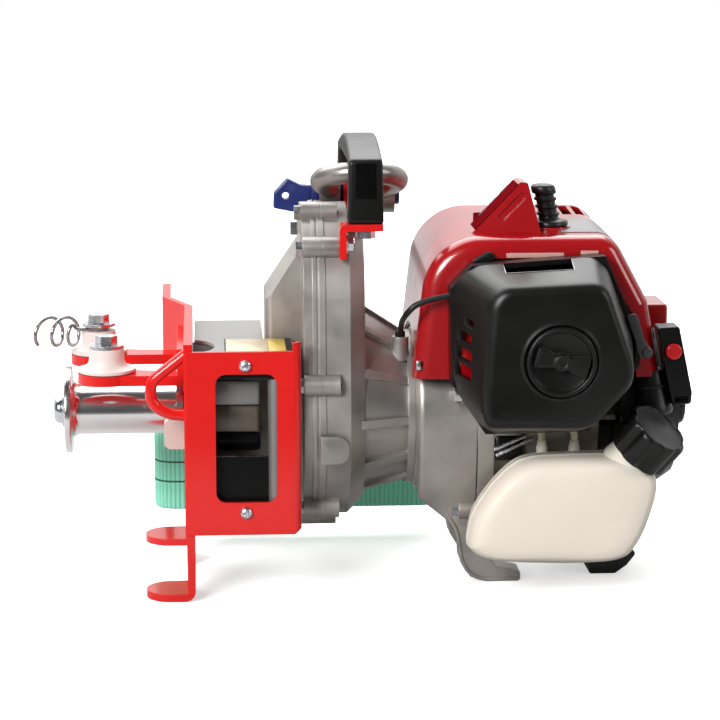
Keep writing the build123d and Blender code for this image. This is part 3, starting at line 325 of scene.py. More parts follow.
finish("foam", (0.03, 0.03, 0.03), 0.9, drift=0.3, grain=1500.0, bump=1.0, depth=0.4)
finish("lever_grey", (0.075, 0.075, 0.075), 0.45, drift=0.2, grain=1500.0, bump=0.2, edge=0.6)
finish("webbing", (0.42, 1.0, 0.76), 0.8, drift=0.08, grain=1600.0, bump=0.6, depth=0.2)
finish("cream_label", (0.60, 0.50, 0.33), 0.35, drift=0.03, grain=800.0, bump=0.05)
finish("pink_label", (0.62, 0.36, 0.32), 0.35, drift=0.08, grain=800.0, bump=0.05, slow=300.0)
finish("yellow_label", (0.60, 0.41, 0.06), 0.35, drift=0.04, grain=800.0, bump=0.05)
finish("grey_label", (0.22, 0.21, 0.21), 0.34, metal=0.4, drift=0.06, grain=800.0, bump=0.05)
milky = FINISHES["tank_plastic"].node_tree.nodes["Principled BSDF"].inputs
milky["Subsurface Weight"].default_value = 0.15
milky["Subsurface Scale"].default_value = 4 * MM
for name, solid in NODES.items():
    solid.data.materials.clear()
    solid.data.materials.append(FINISHES[SLOT_OF[name]])
print(len(FINISHES), "finishes on", len(NODES), "nodes")

# %% [markdown]
# ## Mesh helpers
# A new piece is mostly a loft: closed rings of points, each joined to the next. It could be modelled by
# hand with extrude and scale, but rings keep every size readable. They come from an outline whose corners
# are rounded, from a smooth loop through points, or from a circle round an axis. Lengths are in
# millimetres until a ring is placed.

# %% Outlines
def rounded(points, radius, steps=6):
    """Closed outline whose corners are turned in a smooth arc, all alike or each with its own reach."""
    corners = [Vector(p) for p in points]
    reaches = radius if isinstance(radius, list) else [radius] * len(corners)
    made = []
    for k, corner in enumerate(corners):
        back, ahead = corners[k - 1] - corner, corners[(k + 1) % len(corners)] - corner
        reach = min(reaches[k], 0.48 * back.length, 0.48 * ahead.length)
        start, end = corner + back.normalized() * reach, corner + ahead.normalized() * reach
        for s in range(steps + 1):
            t = s / steps
            made.append(start * (1 - t) ** 2 + corner * (2 * t * (1 - t)) + end * t ** 2)
    return made


def smooth_loop(points, per=6):
    """Closed smooth curve through points."""
    made = []
    for k in range(len(points)):
        a, b, c, d = (Vector(points[(k + j) % len(points)]) for j in (-1, 0, 1, 2))
        for s in range(per):
            t = s / per
            cubic = (3 * b - a - 3 * c + d) * t ** 3
            made.append(0.5 * (2 * b + (c - a) * t + (2 * a - 5 * b + 4 * c - d) * t * t + cubic))
    return made


print("a square rounded by 1 mm has", len(rounded([(0, 0), (4, 0), (4, 4), (0, 4)], 1)), "points")


# %% Moved outlines
def inset(ring, distance):
    """The outline drawn inward by a distance, square to its own run."""
    side = 1 if sum(ring[k - 1].cross(ring[k]) for k in range(len(ring))) > 0 else -1
    made = []
    for k, point in enumerate(ring):
        run = (ring[(k + 1) % len(ring)] - ring[k - 1]).normalized()
        made.append(point + Vector((-run.y, run.x)) * (side * distance))
    return made


def drawn(ring, centre, distance):
    """Each point moved a distance towards one centre."""
    return [point + (Vector(centre) - point).normalized() * distance for point in ring]


def between(first, second, t):
    return [a.lerp(b, t) for a, b in zip(first, second)]


def towards(ring, centre, t):
    return [point.lerp(Vector(centre), t) for point in ring]


print("outlines can be drawn inward, to a centre or to another outline")


# %% Placed rings
def at_x(ring, x):
    return [Vector((x, p.x, p.y)) * MM for p in ring]


def at_y(ring, y):
    return [Vector((p.x, y, p.y)) * MM for p in ring]


def at_z(ring, z):
    return [Vector((p.x, p.y, z)) * MM for p in ring]


def hoop(centre, axis, radius, count=40):
    """Circle of points round an axis."""
    axis = Vector(axis).normalized()
    side = axis.orthogonal().normalized()
    up = axis.cross(side)
    turns = [2 * pi * k / count for k in range(count)]
    return [(Vector(centre) + (side * cos(a) + up * sin(a)) * radius) * MM for a in turns]


def lathe(base, axis, profile, count=40):
    """Rings from distances along an axis and radii."""
    axis = Vector(axis).normalized()
    return [hoop(Vector(base) + axis * along, axis, radius, count) for along, radius in profile]


UP, NEAR, RIGHT = (0, 0, 1), (0, -1, 0), (1, 0, 0)
print("a hoop has", len(hoop((0, 0, 0), UP, 1)), "points")

# %% [markdown]
# A mesh becomes a piece when it has a finish and rides on a body of the winch. Where it stands for a
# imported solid, that solid is hidden. Openings are cut with a boolean, and the result is kept as the
# piece's mesh, because a modifier that points at another object is easily broken later.

# %% Lofts
def loft(rings, shut=(True, True), bm=None):
    """Faces between rings that have the same number of points, with each end closed or left open."""
    bm = bm or bmesh.new()
    rows = [[bm.verts.new(p) for p in ring] for ring in rings]
    for low, high in zip(rows, rows[1:]):
        for k in range(len(low)):
            bm.faces.new((low[k - 1], low[k], high[k], high[k - 1]))
    for row, closed in zip((rows[0], rows[-1]), shut):
        if closed:
            bm.faces.new(row)
    return bm


def endless(rings):
    """A loft whose last ring is joined to its first."""
    bm = loft(rings + rings[:1], (False, False))
    bmesh.ops.remove_doubles(bm, verts=bm.verts, dist=1e-6)
    return bm


sample = loft(lathe((0, 0, 0), UP, [(0, 1), (1, 1)]))
print("a loft of two hoops has", len(sample.faces), "faces")
sample.free()


# %% Objects
def shade(made, sharp=38):
    made.data.polygons.foreach_set("use_smooth", [True] * len(made.data.polygons))
    made.data.set_sharp_from_angle(angle=radians(sharp))
    return made


def shape(name, bm, sharp=38):
    """Object from a mesh, smooth except at sharp edges."""
    bmesh.ops.recalc_face_normals(bm, faces=bm.faces)
    mesh = bpy.data.meshes.new(name)
    bm.to_mesh(mesh)
    bm.free()
    made = bpy.data.objects.new(name, mesh)
    bpy.context.scene.collection.objects.link(made)
    return shade(made, sharp)


def cut(made, *tools):
    """Takes the tools' shapes out of an object and keeps the result as its mesh."""
    for tool in tools:
        change = made.modifiers.new("cut", "BOOLEAN")
        change.object, change.solver = tool, "EXACT"
    view = bpy.context.evaluated_depsgraph_get()
    mesh = bpy.data.meshes.new_from_object(made.evaluated_get(view))
    made.modifiers.clear()
    made.data = mesh
    for tool in tools:
        bpy.data.objects.remove(tool)
    return shade(made)


# %% Pieces and blocks
def dress(made, slot, body, *nodes):
    """Gives an object its finish and its body, and hides the solids that it stands for."""
    made.data.materials.clear()
    made.data.materials.append(FINISHES[slot])
    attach(made, body)
    if nodes:
        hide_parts(*nodes)
    return made


def trim(name, slot, bm, body="winch_body"):
    """Small piece that stands for no solid of its own."""
    return dress(shape(name, bm), slot, body)


def bar(x0, x1, y0, y1, z0, z1, soft=0.4):
    """Block with its upright corners rounded and its top and bottom edges eased."""
    plan = rounded([(x0, y0), (x1, y0), (x1, y1), (x0, y1)], 3 * soft, 4)
    eased = [(0, soft), (0.5 * soft, 0.3 * soft), (soft, 0)]
    levels = [(z0 + h, d) for h, d in eased] + [(z1 - h, d) for h, d in reversed(eased)]
    return loft([at_z(inset(plan, d), z) for z, d in levels])


def prism(outline, y0, y1, bm=None):
    """Block with an outline in X and Z between two depths, its front edge eased."""
    depths = [(y0, 0.5), (y0 + 0.15, 0.15), (y0 + 0.5, 0), (y1, 0)]
    return loft([at_y(inset(outline, d), y) for y, d in depths], bm=bm)


# %% [markdown]
# ## Fuel tank
# A blow-moulded tank has no corner at all. A subdivided box would come close, but its outline is hard to
# steer. Here the side outline is a smooth loop, drawn in towards the front and the back, with the thin
# pinch line that the two halves of the mould leave. The filler neck flares into the shoulder, two stubs
# take the hoses, and a flat tray runs back under the engine.

# %% Fuel tank
TANK_LOOP = [
    (58, 34), (61.5, 50), (72, 66), (83, 77), (92, 81.4), (104, 82.8), (140, 83.2), (157, 80.5),
    (167, 69), (164, 50), (156.5, 32), (146, 22.5), (118, 20.3), (80, 21.8), (66, 24.4), (59.5, 29),
]
# Depth, distance drawn in, and share of the way to the middle.
TANK_DEPTHS = [
    (-88.0, 7.0, 0.8), (-88.0, 7.0, 0.45), (-87.8, 7.0, 0.15), (-87.3, 6.2, 0), (-86, 4.0, 0),
    (-83.5, 2.0, 0), (-80, 0.7, 0), (-75.5, 0, 0), (-70.7, 0, 0), (-70.4, -0.5, 0), (-69.8, -0.5, 0),
    (-69.5, 0, 0), (-63, 0, 0), (-58.5, 0.7, 0), (-55, 2.2, 0), (-53, 4.4, 0), (-52.1, 6.5, 0.1),
    (-52, 7.0, 0.5), (-52, 7.0, 0.8),
]
CAP_BASE, CAP_AXIS = (152.0, -73.0, 80.0), (0.53, -0.40, 0.75)
NECK = [(-5, 15.2), (-3, 15), (-1, 14.7), (2, 14.2), (5, 14), (13.5, 14)]
STUB = [(0, 3.4), (8.6, 3.4), (9.4, 2.9), (12, 2.7), (12.4, 2.3)]
STUB_X, STUB_Y, STUB_Z = (103, 122), -55, 76
TRAY = [(100, -58), (160, -58), (160, 34), (100, 34)]
TRAY_LEVELS = [(22, 4), (22.6, 1.6), (24.2, 0.2), (41.8, 0.2), (43.4, 1.6), (44, 4)]


def tank_mesh():
    side = smooth_loop(TANK_LOOP)
    middle = sum(side, Vector((0, 0))) / len(side)
    bm = loft([at_y(towards(drawn(side, middle, d), middle, t), y) for y, d, t in TANK_DEPTHS])
    loft(lathe(CAP_BASE, CAP_AXIS, NECK), bm=bm)
    for x in STUB_X:
        loft(lathe((x, STUB_Y, STUB_Z), UP, STUB, 24), bm=bm)
    return loft([at_z(inset(rounded(TRAY, 9), d), z) for z, d in TRAY_LEVELS], bm=bm)


tank = dress(shape("tank_moulding", tank_mesh(), 60), "tank_plastic", "winch_body", "fuel_tank")
print("tank of", len(tank.data.polygons), "faces")

# %% [markdown]
# ## Fuel cap
# A moulded cap with eight shallow finger grooves, a raised rim and a dished top. Grooves could be cut with
# booleans, but a formula that draws each ring in eight times gives them soft sides. The cap is hollow
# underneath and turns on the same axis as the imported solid.

# %% Fuel cap
GROOVES, CAP_POINTS = 8, 96
# Distance along the axis, radius and groove depth.
CAP_PROFILE = [
    (21, 1, 0), (21, 15, 0), (8, 15.2, 0), (7.4, 16, 0), (7.4, 18.2, 1.2), (8, 19, 2), (25.6, 18.8, 2),
    (27, 18.5, 1.8), (28, 17.9, 1.3), (28.5, 17.1, 0.8), (28.6, 16.4, 0.4), (28.3, 15.9, 0.1),
    (27.7, 15.6, 0), (27.5, 15, 0), (27.8, 8, 0), (27.9, 1, 0),
]


def lobed(along, radius, depth):
    """Ring round the cap's axis with its finger grooves."""
    axis = Vector(CAP_AXIS).normalized()
    centre = Vector(CAP_BASE) + axis * along
    made = []
    for k, point in enumerate(hoop(centre, axis, radius, CAP_POINTS)):
        groove = (0.5 + 0.5 * cos(GROOVES * 2 * pi * k / CAP_POINTS)) ** 3
        made.append(point + (centre * MM - point).normalized() * (depth * groove * MM))
    return made


cap = shape("cap_moulding", loft([lobed(*step) for step in CAP_PROFILE]), 45)
dress(cap, "black_plastic", BODY_OF["fuel_cap"], "fuel_cap")
print("cap of", len(cap.data.polygons), "faces")

# %% [markdown]
# ## Air cleaner cover
# The cover tapers from a wide rim to a smaller front, so its rings run from one outline to the other. The
# front edge is rounded, and the face carries a shallow boss with a groove round the knob. The same loft
# turns inside and comes back to the rim, which gives the cover a wall that shows when it is pulled off.

# %% Cover rings
REAR = [(48, 126), (47, 181), (59, 194), (134.5, 199), (152.8, 150), (152.8, 136), (128, 97), (68, 96)]
FRONT = [(63, 124), (67, 178), (74, 186), (131, 188), (147, 143), (147, 131), (124, 106), (63, 107)]
REAR_Y, FRONT_Y = -72.0, -110.0
REAR_ROUND, FRONT_ROUND = 11, 9
KNOB = (106.0, 145.0)


def cover_ring(y, d):
    """The cover's outline at one depth, drawn inward."""
    rear, front = rounded(REAR, REAR_ROUND), rounded(FRONT, FRONT_ROUND)
    return at_y(inset(between(rear, front, (REAR_Y - y) / (REAR_Y - FRONT_Y)), d), y)


def knob_ring(y, radius):
    """Circle round the knob with as many points as the cover's outline, started at the same side."""
    outline = rounded(FRONT, FRONT_ROUND)
    start = atan2(outline[0].y - KNOB[1], outline[0].x - KNOB[0])
    turns = [start - 2 * pi * k / len(outline) for k in range(len(outline))]
    return [Vector((KNOB[0] + radius * cos(a), y, KNOB[1] + radius * sin(a))) * MM for a in turns]


print("cover rings of", len(cover_ring(REAR_Y, 0)), "points")

# %% [markdown]
# Louvres and the notch in the top are openings through the wall, so they are cut from the finished shell.

# %% Air cleaner cover
FRONT_EDGE, WALL, INSIDE_Y, STUD_HOLE = 4.8, 2.6, -106, 3.4
# Step in depth from the face, and radius.
BOSS = [(0, 23), (-0.8, 22.4), (-1.1, 21.7), (-1.1, 21.1), (-0.6, 20.7), (1.2, 20.5), (1.9, 20.4),
        (1.9, 20.2), (1.9, STUD_HOLE)]
# Lowest and highest Z, nearest and farthest Y.
LOUVRES = [
    (130.8, 141, -94.5, -75.6), (141.2, 150.4, -93.2, -76.4),
    (151.4, 159.6, -93, -79.4), (160.8, 167.6, -94.5, -85.8),
]
LOUVRE_RAKE, LOUVRE_ROUND, LOUVRE_X = 2.2, 1.2, (40, 66)
NOTCH, NOTCH_ROUND, NOTCH_Z = [(77, -60), (116, -60), (116, -87), (77, -87)], 2.5, (184, 212)


def cover_mesh():
    rings = [cover_ring(y, 0) for y in (REAR_Y, -74, -82, -90, -98, -104)]
    for degrees in (15, 30, 45, 60, 75, 90):
        rise, run = 1 - sin(radians(degrees)), 1 - cos(radians(degrees))
        rings.append(cover_ring(FRONT_Y + FRONT_EDGE * rise, FRONT_EDGE * run))
    rings += [knob_ring(FRONT_Y + step, radius) for step, radius in BOSS]
    rings += [knob_ring(INSIDE_Y, STUD_HOLE), knob_ring(INSIDE_Y, 22), cover_ring(INSIDE_Y, 6)]
    rings += [cover_ring(y, WALL) for y in (-103, -88, REAR_Y)]
    return endless(rings)


def louvre(low, high, near, far):
    corners = [(near, low), (near, high - LOUVRE_RAKE), (far, high), (far, low + LOUVRE_RAKE)]
    slot = rounded(corners, LOUVRE_ROUND, 3)
    return shape("louvre", loft([at_x(slot, x) for x in LOUVRE_X]))


notch_tool = shape("notch", loft([at_z(rounded(NOTCH, NOTCH_ROUND, 3), z) for z in NOTCH_Z]))
tools = [notch_tool] + [louvre(*opening) for opening in LOUVRES]
cover = cut(shape("cleaner_moulding", cover_mesh()), *tools)
dress(cover, "black_plastic", "cleaner_cover", "air_cleaner_cover")
print("cover of", len(cover.data.polygons), "faces")

# %% [markdown]
# ## Knob and choke lever
# The knob is a shallow dish with a hub, a long stud and a bow-tie grip across it, drawn flat and then
# turned a little. The choke lever next to the cover is a curved grey plate on its pivot. Turned pieces are
# lathe rings, plates are prisms: the same two ways that a workshop would use.

# %% Knob
GRIP_HALF = [(-15.2, -5.8), (-15.2, 5.8), (-9, 5), (-4, 3.2), (4, 3.2), (9, 5)]
GRIP = GRIP_HALF + [(-u, -v) for u, v in GRIP_HALF]
GRIP_LEAN = radians(-14)
DISH = [(0, 19.6), (0.4, 19.9), (3.7, 19.9), (4.4, 19.5), (4.7, 18.8), (4.7, 17.6), (4.2, 17),
        (2.2, 16.6), (1.9, 16), (1.9, 1)]
HUB = [(1, 5), (6.2, 4.9), (7, 4.4), (7.3, 3.4), (7.1, 2.6), (6.6, 2.2), (6.6, 0.5)]
STUD, STUD_Y = [(0, 2.6), (0.4, 2.95), (45, 2.95)], -64


def knob_mesh():
    base = (KNOB[0], FRONT_Y + 1.7, KNOB[1])
    bm = loft(lathe(base, NEAR, DISH, 64))
    loft(lathe(base, NEAR, HUB, 32), bm=bm)
    loft(lathe((KNOB[0], STUD_Y, KNOB[1]), NEAR, STUD, 24), bm=bm)
    across, along = cos(GRIP_LEAN), sin(GRIP_LEAN)
    leaning = [(u * across - v * along + KNOB[0], u * along + v * across + KNOB[1]) for u, v in GRIP]
    return prism(rounded(leaning, 1.6, 4), FRONT_Y - 4.4, FRONT_Y + 0.2, bm)


knob = shape("knob_moulding", knob_mesh(), 45)
dress(knob, "black_plastic", BODY_OF["air_cleaner_knob"], "air_cleaner_knob")
print("knob of", len(knob.data.polygons), "faces")

# %% Choke lever
LEVER = [
    (148.2, 165), (154.2, 165.6), (156.8, 157.2), (159.2, 149.8), (161.5, 147.2), (163.4, 143),
    (161.2, 139.6), (157.2, 139.4), (154.6, 144), (153.8, 149.6), (151, 156.6),
]
PIVOT, PIVOT_PROFILE = (160.8, -58.4, 143), [(0, 3.2), (15.2, 3.2), (15.9, 2.7), (16.1, 1.5)]
lever_bm = prism(rounded(LEVER, 1.2, 4), -73.5, -71.75)
loft(lathe(PIVOT, NEAR, PIVOT_PROFILE, 24), bm=lever_bm)
choke = dress(shape("lever_plate", lever_bm), "lever_grey", BODY_OF["choke_lever"], "choke_lever")
print("choke lever", [round(v / MM, 1) for v in choke.dimensions], "mm")

# %% [markdown]
# ## Plug boot
# A rubber boot with soft rings over the spark plug. It is turned like a lathe piece, but each ring is
# moved a little towards the drum, because the boot leans. A bend modifier would do the same less plainly.

# %% Plug boot
BOOT_X, BOOT_Y, BOOT_Z, BOOT_LEAN, BOOT_RINGS = 110.0, -22.0, 210.4, -0.2, 3
BOOT_FOOT = [(0, 10.2), (0.6, 11), (2.4, 11), (3.2, 10.2), (3.6, 7.6), (4.4, 6)]
BOOT_RING = [(0, 5.6), (0.6, 6.7), (1.9, 6.7), (2.5, 5.6)]
BOOT_HEAD = [(18.4, 5.6), (19.2, 7.0), (19.9, 7.3), (22.6, 7.2), (23.8, 6.5), (24.4, 5.2), (24.1, 4.4),
             (24.1, 1)]


def boot_mesh():
    middle = [(5.8 + 4.4 * k + z, radius) for k in range(BOOT_RINGS) for z, radius in BOOT_RING]
    rings = []
    for z, radius in BOOT_FOOT + middle + BOOT_HEAD:
        lean = BOOT_LEAN * max(0.0, z - 3)
        rings.append(hoop((BOOT_X + lean, BOOT_Y, BOOT_Z + z), UP, radius, 32))
    return loft(rings)


boot = dress(shape("boot_rubber", boot_mesh(), 50), "black_rubber", "winch_body", "plug_boot")
print("boot of", len(boot.data.polygons), "faces")

# %% [markdown]
# ## Carry handle
# One moulding bent into a flat arch: a closed outline in Y and Z, carried across in X with its edges
# eased, and drawn a little narrower towards the top. Each corner is rounded by more than the easing takes
# off, so the end faces stay clean. A glossy blank panel is let into the front leg.

# %% Carry handle
HANDLE_RIM = [(-56, 216), (-56, 253), (-14, 262.5), (20, 262.5), (70, 253), (70, 216)]
HANDLE_GAP = [(56, 216), (56, 250), (-42, 250), (-42, 216)]
HANDLE_ROUNDS = [3, 3, 22, 22, 3, 3, 3, 6, 6, 3]
HANDLE_EASE = [(10, 1.8), (9.8, 1.0), (9.4, 0.4), (8.8, 0.1), (8, 0)]
HANDLE_PANEL = [(-6.4, 230), (6.4, 230), (6, 251.5), (-6, 251.5)]
HANDLE_FOOT, FOOT_SWELL, TOP_TAPER = 216 * MM, 1.04, 2.2


def handle_mesh():
    ring = rounded(HANDLE_RIM + HANDLE_GAP, HANDLE_ROUNDS)
    steps = [(-x, d) for x, d in HANDLE_EASE] + HANDLE_EASE[::-1]
    bm = loft([at_x(inset(ring, d), x) for x, d in steps])
    for corner in bm.verts:
        corner.co.x *= FOOT_SWELL - TOP_TAPER * (corner.co.z - HANDLE_FOOT)
    return bm


handle = shape("handle_moulding", handle_mesh(), 50)
dress(handle, "black_plastic", BODY_OF["carry_handle"], "carry_handle")
panel_bm = prism(rounded(HANDLE_PANEL, 0.8, 3), -56.3, -55)
dress(shape("handle_panel", panel_bm), "gloss_black", BODY_OF["carry_handle"])
print("handle", [round(v / MM, 1) for v in handle.dimensions], "mm")

# %% [markdown]
# ## Foam filter
# The filter behind the cover is a pad of open foam. Cloth simulation could puff it up, but it is cut
# from a flat sheet: its edges are only soft, and it has a hole for the cover's stud.

# %% Foam filter
FOAM = [(64, 120), (64, 182), (134, 184), (144, 140), (124, 112), (76, 112)]
FOAM_DEPTHS = [(-84, 3.5), (-83.6, 1.6), (-82.6, 0.5), (-81, 0), (-75.4, 0), (-73.8, 0.5), (-72.8, 1.6),
               (-72.4, 3.5)]
foam_bm = loft([at_y(inset(rounded(FOAM, 8), d), y) for y, d in FOAM_DEPTHS])
stud_hole = shape("stud_hole", loft(lathe((KNOB[0], -90, KNOB[1]), (0, 1, 0), [(0, 8), (25, 8)])))
foam = cut(shape("foam_pad", foam_bm), stud_hole)
dress(foam, "foam", BODY_OF["air_filter"], "air_filter")
print("foam of", len(foam.data.polygons), "faces")

# %% [markdown]
# ## Top sheet and blank labels
# A light aluminium sheet lies on the frame's top, with a finger hole at its edge. The real winch carries
# a label on it. Here it is a blank plate of two colours on a black back, as thin as a sticker. A texture
# on the sheet would also do, but a thin mesh keeps its crisp edge from close by.

# %% Top sheet and labels
SHEET_PLAN = [(-98.8, -70.3), (-42.2, -70.3), (-42.2, -26.2), (-58.7, -26.2), (-58.7, 41.8), (-98.8, 41.8)]
SHEET_LEVELS = (144.6, 145.06)
HOLE_MIDDLE, HOLE_HALF = (-99, -48), (12.1, 20.1)
# Finish, then the block's limits in X, Y and Z.
LABELS = {
    "label_back": ("black_plate", -81.6, -42.4, -68.3, -25.2, 144.8, 145.2),
    "cream_plate": ("cream_label", -80.6, -56.3, -66.8, -26.4, 145, 145.35),
    "yellow_plate": ("yellow_label", -56.2, -46.2, -66.8, -26.4, 145, 145.35),
}


def finger_hole():
    """Oval tool, a round one drawn out to its two half widths."""
    made = shape("finger", loft(lathe((0, 0, 140), UP, [(0, 1), (8, 1)], 48)))
    for corner in made.data.vertices:
        corner.co.x = HOLE_MIDDLE[0] * MM + corner.co.x * HOLE_HALF[0]
        corner.co.y = HOLE_MIDDLE[1] * MM + corner.co.y * HOLE_HALF[1]
    return made


sheet = shape("top_sheet", loft([at_z(rounded(SHEET_PLAN, 0.6, 3), z) for z in SHEET_LEVELS]))
dress(cut(sheet, finger_hole()), "sheet_aluminium", "winch_body")
for name, (slot, *limits) in LABELS.items():
    trim(name, slot, bar(*limits, soft=0.1))
print("top sheet of", len(sheet.data.polygons), "faces with", len(LABELS), "label pieces")

# %% [markdown]
# ## Trims of the shroud
# A blank grey plate follows the fall and the bend of the shroud's top. Two narrow strips lie over the
# intake, with a small black lever beside them and a spring clip at the foot of the arch.

# %% Shroud trims
TOP_FRONT, TOP_RISE, TOP_ROUND = 207.5, 7.0 / 116.0, 16.0
SHROUD_FRONT, SIDE_X, SIDE_Z, SIDE_NORMAL = -58, 140, 230, (0.878, 0.479)
PLATE_X, PLATE_Y, PLATE_THICK, PLATE_BEND = 115, (-41, 1), 0.35, 54
ARCH_LEVER = [(60.6, 194), (62, 196.3), (70, 200.4), (73.4, 199.4), (74.2, 196.8), (71, 194.6)]


def bent_plate(y):
    """Outline in X and Z of a thin plate that lies on the shroud's top and follows its round corner."""
    top = TOP_FRONT + TOP_RISE * (y - SHROUD_FRONT)
    across = (SIDE_NORMAL[1] * (SIDE_Z - top) - TOP_ROUND) / SIDE_NORMAL[0]
    middle = Vector((SIDE_X + across, top - TOP_ROUND))
    turns = [radians(90 - PLATE_BEND * k / 8) for k in range(9)]
    rows = []
    for radius in (TOP_ROUND + PLATE_THICK, TOP_ROUND - 0.3):
        arc = [middle + Vector((cos(a), sin(a))) * radius for a in turns]
        rows.append([Vector((PLATE_X, arc[0].y))] + arc)
    return at_y(rows[0] + rows[1][::-1], y)


trim("shroud_plate", "grey_label", loft([bent_plate(y) for y in PLATE_Y]))
trim("intake_strip", "pink_label", bar(80.6, 114, -58.4, -57.5, 196.4, 199.2, 0.12))
trim("intake_plate", "pink_label", bar(123.6, 134, -58.4, -57.5, 196.8, 200.2, 0.12))
trim("shroud_clip", "zinc", bar(28.8, 32, -59.2, -57, 131.5, 137, 0.4))
trim("arch_lever", "black_rubber", prism(rounded(ARCH_LEVER, 1.6, 4), -60.6, -56))

# %% [markdown]
# The shroud's fin has a dull sloping edge with three slots along its far side, drawn as black strips
# whose black is painted shade, and a small hook behind it. They are thin prisms laid on the slope, each
# placed by where its middle is along X.

# %% Fin
FIN_FOOT, FIN_TOP, FIN_BACK = Vector((61, 207)), Vector((90.5, 238)), -15.95
SLOPE = (FIN_TOP - FIN_FOOT).normalized()


def on_slope(x, half, thick, near, bm):
    """Thin strip on the fin's sloping edge, from a near depth to the fin's back."""
    middle = FIN_FOOT + SLOPE * ((x - FIN_FOOT.x) / SLOPE.x)
    lift = Vector((-SLOPE.y, SLOPE.x)) * thick
    ends = [middle - SLOPE * half + lift, middle + SLOPE * half + lift]
    sunk = [end - lift * 3.5 for end in reversed(ends)]
    return prism(rounded(ends + sunk, 0.3, 2), near, FIN_BACK, bm)


# Black strips for the slots: their black is painted shade.
fin_slot_shade = bmesh.new()
for x in (84, 77.5, 71.3):
    on_slope(x, 3.2, 0.6, -18.4, fin_slot_shade)
trim("fin_edge", "dull_red", on_slope(76.8, 18.2, 0.3, -40.1, bmesh.new()))
trim("fin_slot_shade", "black_rubber", fin_slot_shade)
trim("fin_hook", "dull_red", bar(66.2, 71.4, -14.5, -9, 208.5, 216.8, 0.6))

# %% [markdown]
# ## Behind the openings
# Through the louvres the red shroud shows, and through the finger hole it is dark: the dark slab below
# the hole is painted shade. In the guard's window the end of the gear case is seen in light and dark steps
# beside a round flank, and the brown and the black block below the light one are painted shade. Simple
# blocks set behind each opening give that depth, and they cost far less than the whole inside.

# %% Behind the openings
# Finish, softness of the edges, then the block's limits in X, Y and Z.
BEHIND = {
    "louvre_back": ("shroud_red", 0.3, 51.4, 62.5, -73.6, -71.7, 126, 172),
    # A dark slab under the finger hole: painted shade.
    "hole_back": ("foam", 0.3, -99.8, -60, -67, -22, 141, 142.9),
    "window_lip": ("black_plate", 0.1, -88, -50, -70.95, -70.6, 129.6, 134),
    "snout_block": ("sheet_aluminium", 0.8, -96, -61, -60, -28, 112.4, 127),
    # The brown and the black block are painted shade on the case's end.
    "snout_band": ("exhaust_steel", 0.8, -96, -61, -56, -28, 95.6, 112.2),
    "snout_shade": ("black_plate", 0.8, -96, -61, -52, -28, 84, 95.4),
}
FLANK_FOOT, FLANK = (-52.4, -65.6, 56), [(0, 3.6), (0.8, 4.6), (73, 4.6), (74, 3.6)]
for name, (slot, soft, *limits) in BEHIND.items():
    trim(name, slot, bar(*limits, soft=soft))
trim("case_flank", "sheet_aluminium", loft(lathe(FLANK_FOOT, UP, FLANK)))
print(len(BEHIND) + 1, "pieces behind openings")

# %% [markdown]
# ## Small fittings
# A rubber elbow stands beside the tank's cap, a bolt holds the handle's leg, a flat pad sits on the gear
# case and a rubber ferrule ends the throttle cable. All are turned, apart from the pad.

# %% Small fittings
ELBOW = [(0, 11.2), (0.8, 11.8), (3, 11.8), (6, 10.8), (15.4, 9.2), (16, 9.9), (17.2, 9.9), (17.8, 9),
         (25, 8), (26, 7.4)]
WASHER, BOLT_HEAD = [(0, 5.6), (0.9, 5.6), (1, 5.4)], [(0, 4.4), (3, 4.4), (3.6, 3.8)]
CASE_PAD = [(-27, 78), (-10, 78.6), (-10, 94.4), (-27, 95)]
FERRULE = [(0, 2.6), (0.4, 3), (3, 3), (3.8, 2.2)]
leg_bolt = loft(lathe((-11, -52, 204), RIGHT, WASHER, 32))
loft(lathe((-10, -52, 204), RIGHT, BOLT_HEAD, 6), bm=leg_bolt)
trim("rubber_elbow", "black_rubber", loft(lathe((169, -49, 103), (-0.08, 0, 1), ELBOW)))
trim("leg_bolt", "zinc", leg_bolt)
trim("case_pad", "cast_aluminium", prism(rounded(CASE_PAD, [1, 8, 8, 1]), -68.6, -66))
trim("cable_ferrule", "black_rubber", loft(lathe((22, -27, 145.6), UP, FERRULE)))
print("fittings: elbow, leg bolt, case pad, ferrule")

# %% [markdown]
# ## Crankcase skirt
# The casting runs down from the crankcase into its leg without a step, so a skirt on each side of the
# parting line blends the round case into the flat leg. It is a skin lofted downwards, ring by ring.

# %% Crankcase skirt
# Height, and how far the skin stands off the middle.
SKIRT = [(97, 49.9), (93, 49.75), (88, 49.5), (80, 48.9), (70, 47.6), (60, 45.7), (52, 43.8), (46, 42.3),
         (40, 41.4), (34, 41)]
SKIRT_INSIDE, LEG_TOP, REAR_TAPER = 38, 52, 0.12


def skirt_mesh(x0, x1, side, taper, ease):
    """Skin that hangs from the widest line of the case, from one X to another, on one side."""
    rings = []
    for z, y in SKIRT:
        low = max(0.0, LEG_TOP - z)
        front, rear = x0 + taper * low, x1 - REAR_TAPER * low
        skin, inside = -side * y, -side * SKIRT_INSIDE
        plan = [(front, skin), (rear, skin), (rear, inside), (front, inside)]
        rings.append(at_z(rounded(plan, [ease, 0.5, 0.5, 0.5], 4), z))
    return loft(rings)


for side, word in ((1, "near"), (-1, "far")):
    trim("skirt_front_" + word, "cast_aluminium", skirt_mesh(31.4, 65.7, side, 1.2, 3.5))
    trim("skirt_rear_" + word, "cast_aluminium", skirt_mesh(66.2, 76, side, 0, 0.5))

# %% [markdown]
# ## Rods and beads
# Next to the tank two thin rods lie in front of a black guard. A round bead strengthens the edge of the
# stand's two legs, and a bright line of wire runs round the cover's notch. A curve with a bevel would give
# the bead too, but a tube of rings stays a mesh like the casting that it belongs to.

